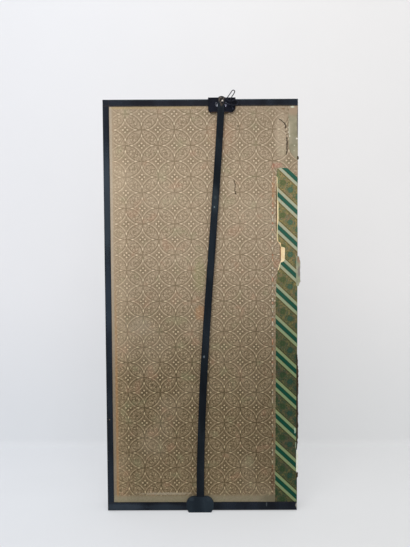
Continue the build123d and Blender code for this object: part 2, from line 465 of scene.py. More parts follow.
@dataclass(frozen=True)
class Lacquer:
    """Old black lacquer: satin, dusty, chipped, and rubbed brown along its edges; some of its marks are
    painted highlights and painted light.
    """

    name: str
    deep: str
    clouded: str
    marks: tuple[Mark, ...] = ()
    rubbed: str = "352e28"
    specular: float = 0.08
    rub: float = 0.35
    dust: float = 0.05
    inner_lines: bool = False
    top_line: float = 1287.0
    low_line: float = 29.4
    side_line: float = -283.8

    def make(self) -> bpy.types.Material:
        """Builds the material."""
        recipe = Recipe(self.name)
        x, _, z = recipe.place
        fine = recipe.cloud(2.4, 4.0)
        patch = recipe.cloud(60.0, 3.0, (1.0, 1.0, 0.35))
        streak = recipe.cloud(1.6, 2.0, (1.0, 1.0, 0.04))
        cross_streak = recipe.cloud(1.6, 2.0, (0.04, 1.0, 1.0))
        scratch = streak.fade(0.66, 0.76) + cross_streak.fade(0.67, 0.77)
        dusty = (fine.fade(0.45, 0.75) * patch.fade(0.3, 0.65) + scratch * 0.6) * self.dust
        distance, chance = recipe.grains(14.0)
        chip = (distance + fine * 0.3).fade(0.3, 0.24) * chance.fade(0.955, 0.975)
        rubbed = recipe.edges() * (fine * 0.6 + patch * 0.6).fade(0.5, 0.78) * self.rub
        if self.inner_lines:
            lines = z.line(self.low_line, 0.9, 0.5).most(x.line(self.side_line, 0.9, 0.5))
            lines = lines.most(z.line(self.top_line, 2.0, 1.0))
            rubbed = rubbed.most(lines * fine.fade(0.42, 0.62) * 0.6)
        colour = recipe.coat(
            recipe.tint(patch.fade(0.35, 0.7), self.deep, self.clouded),
            (dusty.least(0.6), "7d8288"),
            (chip * 0.55, "8a7d6a"),
            (rubbed, self.rubbed),
        )
        colour = with_marks(recipe, colour, self.marks, fine)
        rough = (patch * 0.16 + fine * 0.1 + dusty * 0.4 + rubbed * 0.25 + 0.3).least(0.9)
        height = recipe.cloud(5.0, 2.0) * 0.6 - chip * 0.8 - rubbed * 0.3 - scratch * 0.12
        return recipe.finish(colour, rough, recipe.relief(height, 0.05), self.specular)


@dataclass(frozen=True)
class LinkedRings:
    """The linked-rings pattern: stars with four dots, between petals with a leafy filling."""

    x: float = 20.8
    z: float = 1262.2
    across: float = 50.9
    up: float = 48.7
    dot_place: float = 0.146
    dash_place: float = 0.62
    arc_place: float = 0.078
    flower_radius: float = 0.165
    halo_radius: float = 0.245
    petal_lobes: float = 6.0
    vein_pitch: float = 56.0

    def tone(self, recipe: Recipe, x: Value, z: Value) -> Value:
        """The printed tone, from 0, dark, over 0.5, the ground, to 1, the palest dashes.

        Args:
            recipe: the material that is being built.
            x: the place across the paper in millimetres.
            z: the height in millimetres.

        Returns:
            The tone.
        """
        u = (x - self.x) / self.across
        v = (z - self.z) / self.up
        s = (u + v) * 0.5
        t = (u - v) * 0.5
        step_s = s - s.nearest()
        step_t = t - t.nearest()
        a = abs(step_s + step_t)
        b = abs(step_s - step_t)
        ring = ((1 - a).squared() + (1 - b).squared()).root() - 1
        along = abs(a - b) * math.sqrt(0.5)
        off = (1 - a - b) * math.sqrt(0.5)
        star = ring.fade(0.01, 0.035)
        arc = ring.line(self.arc_place, 0.032, 0.016) * a.least(b).fade(0.02, 0.09)
        outline = ring.line(-0.008, 0.026, 0.018)
        to_dot_a = (a - self.dot_place).squared() + b.squared()
        to_dot_b = a.squared() + (b - self.dot_place).squared()
        dots = to_dot_a.least(to_dot_b).fade(0.0048, 0.0016)
        dash_a = (abs(a - self.dash_place) * 0.36 + b).fade(0.058, 0.028)
        dash_b = (abs(b - self.dash_place) * 0.36 + a).fade(0.058, 0.028)
        dash = dash_a.most(dash_b)
        around = (a + b).line(self.dot_place, 0.12, 0.05) * (1 - dots)
        petal = ring.fade(-0.05, -0.1)
        reach = ((along * 0.86).squared() + off.squared()).root()
        lobes = (off.angle(along) * self.petal_lobes + math.pi / 2).sine().fade(-0.8, 0.4)
        flower = reach.line(self.flower_radius, 0.036, 0.024) * lobes * 0.2
        hollow = reach.fade(0.1, 0.06) * 0.05 + reach.line(self.halo_radius, 0.012, 0.018) * 0.1
        clear = reach.fade(0.25, 0.29)
        vein = ((along * 1.2 - abs(off)) * self.vein_pitch).sine().fade(-0.2, 0.8) * clear
        spine = abs(off).fade(0.022, 0.008) * clear
        ink = recipe.cloud(3.2, 2.0) - 0.5
        filling = flower + clear * 0.02 + vein * 0.12 + spine * 0.07 + ink * 0.6
        speck, _ = recipe.grains(3.4)
        light = arc * 0.26 + dots * 0.42 + dash * 0.52 + petal * filling
        dark = star * 0.12 + around * 0.1 + outline * 0.23
        dark = dark + petal * (hollow + speck.fade(0.25, 0.6) * 0.18 - 0.04)
        return light - dark + 0.5


@dataclass(frozen=True)
class PrintedPaper:
    """Handmade paper printed with linked rings, darker and browner towards the floor, with painted shade
    at its top and beside the frames.
    """

    name: str
    marks: tuple[Mark, ...] = ()
    cracks: tuple[Crack, ...] = ()
    torn: bool = False
    top_margin: float = 1277.0
    low_margin: float = 51.0
    left_margin: float = -270.0
    seam: float = 225.4
    # the heights over which the paper gets darker and browner towards the floor
    darkening_heights: Pair = (900.0, 330.0)
    wear: Pair = (420.0, 120.0)
    faint_heights: Pair = (1232.0, 1274.0)
    faint_across: Pair = (70.0, 150.0)
    hem_heights: Pair = (680.0, 560.0)
    rust_heights: Pair = (850.0, 500.0)
    top_stain: Pair = (30.0, -60.0)
    fleck_top: Pair = (1085.0, 1060.0)
    fleck_foot: Pair = (80.0, 150.0)
    fleck_paling: Pair = (620.0, 420.0)
    painted_top_shade: Pair = (1040.0, 1290.0)
    flank: Pair = (40.0, 230.0)
    foot: Pair = (200.0, 60.0)
    # middle and rim set where the painted shade beside the frames falls
    middle: float = 10.0
    rim: Pair = (250.0, 292.0)
    # ramps of the upper paper and of the darker, browner paper near the floor
    young: Stops = ((0.15, "7a6a52"), (0.5, "a39078"), (0.95, "dccbb0"))
    old: Stops = ((0.15, "413621"), (0.5, "7b6a50"), (0.95, "c2b18d"))
    flecks: Stops = ((0.36, "b4573f"), (0.44, "bd8250"), (0.52, "8e9a7f"), (0.6, "d8cfc0"))

    def make(self) -> bpy.types.Material:
        """Builds the material."""
        recipe = Recipe(self.name)
        x, _, z = recipe.place
        fine = recipe.cloud(1.5, 4.0)
        grain = recipe.cloud(5.5, 4.0)
        patch = recipe.cloud(46.0, 3.0)
        wide = recipe.cloud(170.0, 2.0)
        fibre = recipe.cloud(1.1, 2.0, (1.0, 1.0, 0.08), 38.0)
        tone = LinkedRings().tone(recipe, x + (grain - 0.5) * 1.1, z + (fine - 0.5) * 0.9)
        plain = z.fade(self.top_margin - 4, self.top_margin + 3) * 0.6
        plain = plain.most(z.fade(self.low_margin + 8, self.low_margin - 6))
        left = x.fade(self.left_margin + 7, self.left_margin - 6)
        side = x.fade(self.left_margin + 60, self.left_margin + 6)
        plain = plain.most(left * 0.85).most(side * 0.22)
        plain = plain.most(z.fade(*self.faint_heights) * x.fade(*self.faint_across) * 0.5)
        faded = plain.most(patch.fade(0.62, 0.78) * 0.3)
        if self.torn:
            hem = x.fade(self.seam + 1, self.seam + 3) * z.fade(*self.hem_heights) * 0.8
            faded = faded.most(hem)
        worn = z.fade(*self.wear) * 0.14
        tone = (tone - 0.5) * (1.1 - worn - faded * 1.1) + 0.5
        unevenness = (grain - 0.5) * 0.62 + (fibre - 0.5) * 0.4 + (fine - 0.5) * 0.5
        tone = tone + unevenness * (1 - left * 0.4)
        # darker and browner towards the floor
        lowness = z.fade(*self.darkening_heights) + (patch - 0.5) * 0.2
        top = z.fade(self.top_margin - 2, self.top_margin + 3) * x.fade(*self.top_stain)
        rust = x.line(self.left_margin, 3.5, 3.0) * z.fade(*self.rust_heights)
        bleached = recipe.tint(lowness, "b7ad9e", "857b70")
        outer = x.fade(self.left_margin - 2, self.left_margin - 8)
        low = z.fade(self.low_margin + 6, self.low_margin - 8)
        colour = recipe.coat(
            recipe.tint(lowness, recipe.ramp(tone, self.young), recipe.ramp(tone, self.old)),
            (patch.fade(0.56, 0.74) * 0.2, "8f9670"),
            (patch.fade(0.42, 0.28) * 0.18, "b3836a"),
            (wide.fade(0.5, 0.72) * 0.14, "bbab93"),
            (top * 0.5, "ab966a"),
            (rust * patch.fade(0.2, 0.5) * 0.42, "a8794c"),
            (outer * 0.4, bleached),
            (low * 0.6, "8b8470"),
            (low * grain.fade(0.42, 0.62) * 0.5, "6c6a4e"),
        )
        if self.torn:
            row = recipe.cloud(7.0, 1.0, (0.1, 0.1, 1.0))
            hue = recipe.cloud(11.0, 1.0, (0.1, 0.1, 1.0))
            fleck = x.line(self.seam, 1.4, 1.3) * row.fade(0.44, 0.5)
            fleck = fleck * z.fade(*self.fleck_top) * z.fade(*self.fleck_foot)
            fleck = fleck * (0.68 - z.fade(*self.fleck_paling) * 0.34)
            colour = recipe.tint(fleck, colour, recipe.ramp(hue, self.flecks))
        # painted shade: the paper darkens towards its top, where less of the lamp's light falls
        painted_top_shade = z.fade(*self.painted_top_shade) * 0.14
        flank = x.fade(*self.flank) * (lowness * 0.08 + 0.05)
        paling = side * (lowness * 0.06 + 0.17) + z.fade(*self.foot) * 0.12
        colour = recipe.dim(colour, 1.0 - painted_top_shade - flank + paling)
        colour = with_marks(recipe, colour, self.marks, grain)
        split: Number = 0.0
        for crack in self.cracks:
            split = crack.mask(x, z, grain).most(split)
        if self.cracks:
            colour = recipe.tint(split * 0.94, colour, "2c1f12")
        # painted shade: the paper darkens a little towards the frames on both sides, where the frames
        # shade it
        edge = abs(x - self.middle).fade(*self.rim) * 0.05
        height = tone * 0.5 + fibre * 0.35 + grain * 0.3 - split * 1.5
        colour = recipe.dim(colour, 1.0 - edge)
        return recipe.finish(colour, 0.74 + grain * 0.18, recipe.relief(height, 0.16), specular=0.25)


@dataclass(frozen=True)
class BandedBrocade:
    """Silk brocade with slanting green and cream bands, and rosettes between them."""

    name: str
    pitch: float = 101.1
    slant: float = 0.945
    phase: float = 1239.9
    green_half: float = 8.2
    cream_half: float = 20.3
    rosette_pitch: float = 23.6
    rosette_phase: float = 256.8
    rosette_radius: float = 8.4
    # the heights over which the brocade darkens towards the floor
    darkening_heights: Pair = (960.0, 430.0)
    left_rosettes: Pair = (271.0, 266.0)
    marks: tuple[Mark, ...] = (
        Mark(296.5, 262.0, 2.6, 13.0, "b9c9b4", 0.7, 0.9),
        Mark(299.8, 214.0, 2.2, 15.0, "aebfa6", 0.6, 1.0),
        Mark(243.0, 1060.0, 5.0, 30.0, "7f8a62", 0.4, 0.9),
    )

    def make(self) -> bpy.types.Material:
        """Builds the material."""
        recipe = Recipe(self.name)
        x, _, z = recipe.place
        fine = recipe.cloud(1.6, 3.0)
        grain = recipe.cloud(5.0, 3.0)
        patch = recipe.cloud(34.0, 3.0)
        band = (x * self.slant + z - self.phase + (grain - 0.5) * 1.6) / self.pitch
        from_green = abs(band - band.nearest()) * self.pitch
        shifted = band - 0.5
        over = (shifted - shifted.nearest()) * self.pitch
        run = (x - over * 0.5 - self.rosette_phase) / self.rosette_pitch
        along = (run - run.nearest()) * (self.rosette_pitch * math.sqrt(2))
        across = over * math.sqrt(0.5)
        reach = (along.squared() + across.squared()).root()
        petals = (across.angle(along) * 6.0).sine() * 0.9
        outline = reach + petals + (grain - 0.5) * 5.0
        rosette = outline.fade(self.rosette_radius + 1.5, self.rosette_radius - 1.5)
        heart = reach.fade(3.4, 2.0).most(reach.line(5.6, 0.6, 0.5))
        twill = ((x - z) * 4.4).sine()
        thread = ((x + z) * 6.1).sine()
        # the brocade darkens towards the floor
        old = z.fade(*self.darkening_heights)
        gold = recipe.tint(old, "a18c58", "66603a")
        russet = recipe.tint(old, "775c38", "3e3320")
        violet = recipe.tint(old, "7d6a58", "4b4038")
        rosy = recipe.tint(old, "a27c6a", "5e463a")
        deep = recipe.tint(old, "4b4b2c", "222a1a")
        teal = recipe.tint(old, "346455", "103e37")
        moss = recipe.tint(old, "4c5e3c", "213c25")
        inked = recipe.tint(x.fade(*self.left_rosettes), teal, moss)
        scroll = (grain * 0.7 + fine * 0.5).fade(0.54, 0.74) * (0.35 + reach.fade(11.0, 16.0) * 0.6)
        distance, chance = recipe.grains(5.4)
        dot = distance.fade(0.5, 0.3)
        leaf = reach.line(14.5, 1.4, 1.2) * (across.angle(along) * 4.0).sine().fade(0.0, 0.5)
        cream = recipe.tint(old, "a3ad97", "799069")
        warm = recipe.tint(old, "b0a283", "868657")
        yellowed = (grain.fade(0.45, 0.65) * 0.7).most(from_green.fade(15.0, 20.0) * 0.8)
        cream = recipe.tint(yellowed, cream, warm)
        green = recipe.tint(old, "2c5746", "0a3f2c")
        stitch = ((x - z) * 0.8).sine().fade(0.1, 0.9) * from_green.fade(4.5, 2.0)
        green = recipe.tint(stitch * 0.55, green, recipe.tint(old, "2b6a66", "074a55"))
        shade = recipe.tint(old, "57502f", "2a3120")
        rim = from_green.line(self.green_half + 0.6, 0.7, 0.4)
        inside = from_green.fade(self.green_half + 0.5, self.green_half - 0.5)
        colour = recipe.coat(
            recipe.tint(old, "74704c", "3c452f"),
            (scroll, gold),
            (patch.fade(0.5, 0.7) * 0.5, violet),
            (dot * chance.fade(0.66, 0.72) * 0.5, rosy),
            (dot * chance.fade(0.34, 0.28) * 0.6, deep),
            (reach.fade(13.0, 8.0) * 0.35, moss),
            (rosette * 0.8, inked),
            (rosette * heart * 0.2, gold),
            (leaf * 0.6, teal),
            (from_green.line(self.cream_half + 3.0, 2.2, 1.0) * 0.7, shade),
            (from_green.fade(self.cream_half + 1.0, self.cream_half), cream),
            (inside, green),
            (rim * 0.5, russet),
        )
        colour = with_marks(recipe, colour, self.marks, grain)
        colour = recipe.dim(colour, 1.0 + twill * 0.06 + thread * 0.05 + (fine - 0.5) * 0.35)
        height = twill * 0.25 + thread * 0.2 + rosette * 0.5 + fine * 0.3 + 0.5
        return recipe.finish(colour, 0.62 + grain * 0.2, recipe.relief(height, 0.12), specular=0.12)


@dataclass(frozen=True)
class BorderBrocade:
    """The narrow brocade round a picture side: small gold lozenges on faded green."""

    name: str
    lozenge: float = 12.0

    def make(self) -> bpy.types.Material:
        """Builds the material."""
        recipe = Recipe(self.name)
        x, _, z = recipe.place
        fine = recipe.cloud(1.4, 3.0)
        patch = recipe.cloud(40.0, 3.0)
        s = (x + z) / self.lozenge
        t = (x - z) / self.lozenge
        step = abs(s - s.nearest()).most(abs(t - t.nearest()))
        net = step.fade(0.4, 0.46)
        middle = step.fade(0.2, 0.12)
        ground = recipe.tint(patch.fade(0.35, 0.65), "3f5140", "5c6446")
        colour = recipe.tint(net * (0.5 + fine * 0.4), ground, "a98f52")
        weave = ((x + z) * 5.0).sine() * 0.5 + ((x - z) * 5.0).sine() * 0.5
        colour = recipe.tint(middle * (0.45 + fine * 0.4), colour, "b99f63")
        colour = recipe.dim(colour, 1.0 + weave * 0.07 + (fine - 0.5) * 0.3)
        height = weave * 0.3 + net * 0.4 + middle * 0.4 + 0.5
        return recipe.finish(colour, 0.6 + fine * 0.2, recipe.relief(height, 0.12), sheen=0.15)


@dataclass(frozen=True)
class LeafedPaper:
    """Paper covered with squares of gold leaf, whose overlaps and rubbed places show."""

    name: str
    square: float = 109.0

    def make(self) -> bpy.types.Material:
        """Builds the material."""
        recipe = Recipe(self.name)
        x, _, z = recipe.place
        fine = recipe.cloud(2.0, 4.0)
        patch = recipe.cloud(70.0, 4.0)
        wave = (recipe.cloud(30.0, 2.0) - 0.5) * 3.0
        column = (x + wave) / self.square
        row = (z + wave) / self.square
        lap = abs(column - column.nearest()).least(abs(row - row.nearest())).fade(0.02, 0.012)
        gold = recipe.tint(patch.fade(0.3, 0.7), "c9a14c", "a37f3b")
        gold = recipe.tint(lap * 0.55, gold, "dcb865")
        worn = (fine * 0.6 + patch * 0.5).fade(0.66, 0.74)
        colour = recipe.tint(worn * 0.7, gold, "8a6a43")
        rough = 0.4 + fine * 0.18 + worn * 0.2
        normal = recipe.relief(lap * 0.3 + fine * 0.25 - worn * 0.2, 0.08)
        return recipe.finish(colour, rough, normal, metallic=0.7 - worn * 0.6)


@dataclass(frozen=True)
class Cedar:
    """Planed cedar, with its grain along the slats and paper over the panels' hinge edges."""

    name: str
    papered_from: float = 302.6

    def make(self) -> bpy.types.Material:
        """Builds the material."""
        recipe = Recipe(self.name)
        x, _, _ = recipe.place
        sideways, _, _ = recipe.parts(recipe.facing)
        papered = abs(x).fade(self.papered_from, self.papered_from + 0.2) * abs(sideways).fade(0.5, 0.8)
        fibre = recipe.cloud(1.3, 2.0, (1.0, 1.0, 0.08))
        stain = recipe.cloud(38.0, 3.0)
        rings = recipe.cloud(7.0, 3.0, (1.0, 1.0, 0.05))
        pores = recipe.cloud(1.2, 2.0, (1.0, 1.0, 0.03))
        colour = recipe.ramp(rings, ((0.3, "caa57a"), (0.5, "b58c60"), (0.62, "96704a")))
        paper = recipe.tint(stain.fade(0.38, 0.62), "a3957b", "85775e")
        paper = recipe.tint(fibre.fade(0.55, 0.75) * 0.4, paper, "b8ab90")
        rough = 0.6 + pores * 0.2 + papered * 0.1
        colour = recipe.coat(colour, (pores.fade(0.55, 0.75) * 0.35, "7a5a3c"), (papered, paper))
        return recipe.finish(colour, rough, recipe.relief(rings * 0.5 + pores * 0.4, 0.1))


@dataclass(frozen=True)
class FibrePaper:
    """Soft mulberry paper with long fibres, plain or stained; its marks can also be painted shadow."""

    name: str
    pale: str
    stained: str
    dark: str
    marks: tuple[Mark, ...] = ()

    def make(self) -> bpy.types.Material:
        """Builds the material."""
        recipe = Recipe(self.name)
        fine = recipe.cloud(1.2, 3.0)
        patch = recipe.cloud(26.0, 4.0)
        up = recipe.cloud(1.3, 1.0, (1.0, 1.0, 0.05), 12.0)
        across = recipe.cloud(1.3, 1.0, (0.05, 1.0, 1.0), -20.0)
        fibre = up.fade(0.6, 0.7).most(across.fade(0.6, 0.7))
        spots = (patch * 0.5 + fine * 0.6).fade(0.62, 0.76)
        colour = recipe.tint(patch.fade(0.38, 0.64), self.pale, self.stained)
        colour = recipe.tint(spots * 0.7, colour, self.dark)
        colour = with_marks(recipe, colour, self.marks, fine)
        colour = recipe.dim(colour, 1.0 + fibre * 0.1 + (fine - 0.5) * 0.2)
        return recipe.finish(colour, 0.85, recipe.relief(fibre * 0.6 + fine * 0.4, 0.12), specular=0.2)


@dataclass(frozen=True)
class OldMetal:
    """Grey metal of the eyelets, dulled and spotted, with painted glints laid on as marks."""

    name: str
    marks: tuple[Mark, ...] = ()

    def make(self) -> bpy.types.Material:
        """Builds the material."""
        recipe = Recipe(self.name)
        fine = recipe.cloud(0.8, 4.0)
        patch = recipe.cloud(3.0, 3.0)
        colour = recipe.tint(patch.fade(0.35, 0.65), "6a6e78", "4a4c54")
        spots = fine.fade(0.58, 0.7)
        colour = recipe.coat(colour, (spots * 0.7, "3d352b"), (recipe.edges() * 0.4, "a9acb3"))
        colour = with_marks(recipe, colour, self.marks, fine)
        rough = 0.38 + patch * 0.2 + spots * 0.25
        return recipe.finish(colour, rough, recipe.relief(fine, 0.06), metallic=0.85 - spots * 0.5)


@dataclass(frozen=True)
class SilkCord:
    """Dark blue-black silk of the tying cord, with its fine filaments, whose paler colour is painted
    sheen.
    """

    name: str

    def make(self) -> bpy.types.Material:
        """Builds the material."""
        recipe = Recipe(self.name)
        hair = recipe.cloud(0.5, 2.0, (1.0, 1.0, 0.4), 30.0)
        patch = recipe.cloud(9.0, 3.0)
        colour = recipe.tint(patch.fade(0.35, 0.65), "101219", "20242f")
        # painted sheen: paler filaments stand in for light on the silk
        colour = recipe.tint(hair.fade(0.55, 0.75) * 0.45, colour, "62667c")
        return recipe.finish(colour, 0.7 + hair * 0.2, recipe.relief(hair, 0.08), specular=0.2)


@dataclass(frozen=True)
class StudioPaint:
    """Pale matt paint of the floor and the curved backdrop, seen through from behind."""

    name: str
    low: str = "e2e5ea"
    low_right: str = "e0e1e2"
    high: str = "edeef2"
    high_right: str = "ecebeb"
    evenness: float = 0.58
    across: Pair = (-900.0, 700.0)
    up: Pair = (20.0, 800.0)

    def make(self) -> bpy.types.Material:
        """Builds the material."""
        recipe = Recipe(self.name)
        x, _, z = recipe.place
        mottle = recipe.cloud(240.0, 2.0)
        across = x.fade(*self.across)
        low = recipe.tint(across, self.low, self.low_right)
        high = recipe.tint(across, self.high, self.high_right)
        colour = recipe.tint(z.fade(*self.up), low, high)
        colour = recipe.dim(colour, 0.99 + mottle * 0.02)
        matt = {"Roughness": 1.0, "Specular IOR Level": 0.0}
        glowing = {"Base Color": "000000", "Emission Color": colour, "Emission Strength": 1.0}
        paint = recipe.node("ShaderNodeBsdfPrincipled", {}, {"Base Color": colour, **matt})
        glow = recipe.node("ShaderNodeBsdfPrincipled", {}, {**glowing, **matt})
        path = recipe.node("ShaderNodeLightPath", {}, {})
        kinds = ("Camera", "Glossy", "Transmission")
        seen = [Value(recipe, path.outputs[f"Is {kind} Ray"]) for kind in kinds]
        even = seen[0].most(seen[1]).most(seen[2]) * self.evenness
        lit = recipe.node("ShaderNodeMixShader", {}, {0: even, 1: paint.outputs[0], 2: glow.outputs[0]})
        clear = recipe.node("ShaderNodeBsdfTransparent", {}, {})
        back = recipe.node("ShaderNodeNewGeometry", {}, {}).outputs["Backfacing"]
        mixed = recipe.node("ShaderNodeMixShader", {}, {0: back, 1: lit.outputs[0], 2: clear.outputs[0]})
        recipe.node("ShaderNodeOutputMaterial", {}, {"Surface": mixed.outputs[0]})
        return recipe.material


# ---- Work in edit mode ----


class Part(Enum):
    """The parts of a mesh that can be chosen."""

    FACE = "FACE"
    EDGE = "EDGE"


class Bench:
    """Edit-mode work on one mesh at a time, with everything else deselected."""

    @staticmethod
    def clear() -> None:
        """Deselects every object."""
        if bpy.context.mode != "OBJECT":
            bpy.ops.object.mode_set(mode="OBJECT")
        bpy.ops.object.select_all(action="DESELECT")

    @staticmethod
    def pick(obj: bpy.types.Object) -> None:
        """Selects one object and makes it the active one.

        Args:
            obj: the object.
        """
        Bench.clear()
        obj.select_set(True)
        bpy.context.view_layer.objects.active = obj

    @staticmethod
    def grid(name: str, low: Vector, high: Vector, cell: float) -> bpy.types.Object:
        """Adds an upright grid that faces -Y.

        Args:
            name: the new object's name.
            low: its lowest corner; its y is the grid's.
            high: its highest corner.
            cell: the size of a cell.

        Returns:
            The grid, with its place in its mesh.
        """
        Bench.clear()
        width = high.x - low.x
        height = high.z - low.z
        bpy.ops.mesh.primitive_grid_add(
            x_subdivisions=max(2, round(width / cell)),
            y_subdivisions=max(2, round(height / cell)),
            size=1.0,
            location=((low.x + high.x) / 2, low.y, (low.z + high.z) / 2),
            rotation=(math.radians(90), 0, 0),
        )
        obj = bpy.context.active_object
        obj.name = name
        obj.data.name = name
        obj.scale = (width, height, 1.0)
        bpy.ops.object.transform_apply(location=True, rotation=True, scale=True)
        return obj

    @staticmethod
    def cut(obj: bpy.types.Object, point: Vector, normal: Vector) -> None:
        """Cuts every face of a mesh along a plane, and keeps both sides.

        Args:
            obj: the mesh.
            point: a point of the plane.
            normal: the plane's direction.
        """
        Bench.pick(obj)
        bpy.ops.object.mode_set(mode="EDIT")
        bpy.ops.mesh.select_all(action="SELECT")
        bpy.ops.mesh.bisect(plane_co=point, plane_no=normal)
        bpy.ops.object.mode_set(mode="OBJECT")

    @staticmethod
    def choose(obj: bpy.types.Object, part: Part, test: Callable[..., bool]) -> None:
        """Goes into edit mode with only some faces or edges selected.

        Args:
            obj: the mesh.
            part: whether faces or edges are chosen.
            test: what the middle of a face, or the two ends of an edge, have to pass.
        """
        Bench.pick(obj)
        bpy.ops.object.mode_set(mode="EDIT")
        bpy.ops.mesh.select_mode(type=part.value)
        bpy.ops.mesh.select_all(action="DESELECT")
        bpy.ops.object.mode_set(mode="OBJECT")
        if part is Part.FACE:
            for face in obj.data.polygons:
                face.select = test(face.center)
        else:
            for edge in obj.data.edges:
                edge.select = test(*(obj.data.vertices[k].co for k in edge.vertices))
        bpy.ops.object.mode_set(mode="EDIT")

    @staticmethod
    def remove_faces(obj: bpy.types.Object, test: Callable[[Vector], bool]) -> None:
        """Deletes some faces.

        Args:
            obj: the mesh.
            test: what the middle of a face has to pass.
        """
        Bench.choose(obj, Part.FACE, test)
        bpy.ops.mesh.delete(type="FACE")
        bpy.ops.object.mode_set(mode="OBJECT")

    @staticmethod
    def refine(obj: bpy.types.Object, test: Callable[[Vector], bool], cuts: int) -> None:
        """Subdivides some faces.

        Args:
            obj: the mesh.
            test: what the middle of a face has to pass.
            cuts: how many cuts each edge gets.
        """
        Bench.choose(obj, Part.FACE, test)
        bpy.ops.mesh.subdivide(number_cuts=cuts)
        bpy.ops.object.mode_set(mode="OBJECT")

    @staticmethod
    def move_points(obj: bpy.types.Object, rule: Callable[[Vector], Vector]) -> None:
        """Moves each point of a mesh to where a rule says.

        Args:
            obj: the mesh.
            rule: gives a point's new place.
        """
        for point in obj.data.vertices:
            point.co = rule(point.co.copy())
        obj.data.update()

    @staticmethod
    def thicken(obj: bpy.types.Object, thickness: float) -> None:
        """Gives a sheet its thickness behind its face, and smooths its shading.

        Args:
            obj: the sheet.
            thickness: how thick it gets.
        """
        Bench.pick(obj)
        wall = obj.modifiers.new("thickness", "SOLIDIFY")
        wall.thickness = thickness
        wall.offset = -1.0
        bpy.ops.object.modifier_apply(modifier=wall.name)
        bpy.ops.object.shade_smooth_by_angle(angle=SMOOTH_ANGLE)


def between(value: float, table: Sequence[Pair]) -> float:
    """Reads a table of pairs, with straight lines between them.

    Args:
        value: the number to look up.
        table: the pairs, from the lowest first number up.

    Returns:
        The second number that goes with the value.
    """
    if value <= table[0][0]:
        return table[0][1]
    for (x0, y0), (x1, y1) in zip(table, table[1:]):
        if value <= x1:
            return y0 + (y1 - y0) * (value - x0) / (x1 - x0)
    return table[-1][1]


def rough(place: Vector, size: float, depth: float) -> float:
    """Smooth noise between -depth and depth, with bumps of a size in metres."""
    return depth * noise.noise(place / size)


def dress(names: Iterable[str], material: bpy.types.Material) -> None:
    """Gives carried-over nodes their finish.

    Args:
        names: the nodes.
        material: the finish.
    """
    for name in names:
        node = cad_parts[name]
        if not node.material_slots:
            node.data.materials.append(material)
        for slot in node.material_slots:
            slot.material = material
        LOG.info("dressed %s with %s", name, material.name)


def settle(
    obj: bpy.types.Object, body: str, material: bpy.types.Material
) -> bpy.types.Object:
    """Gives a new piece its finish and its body.

    Args:
        obj: the piece.
        body: the body that it rides on.
        material: the finish.

    Returns:
        The piece.
    """
    obj.data.materials.clear()
    obj.data.materials.append(material)
    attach(obj, body)
    LOG.info("made %s, which rides on %s", obj.name, body)
    return obj


# ---- Panels ----


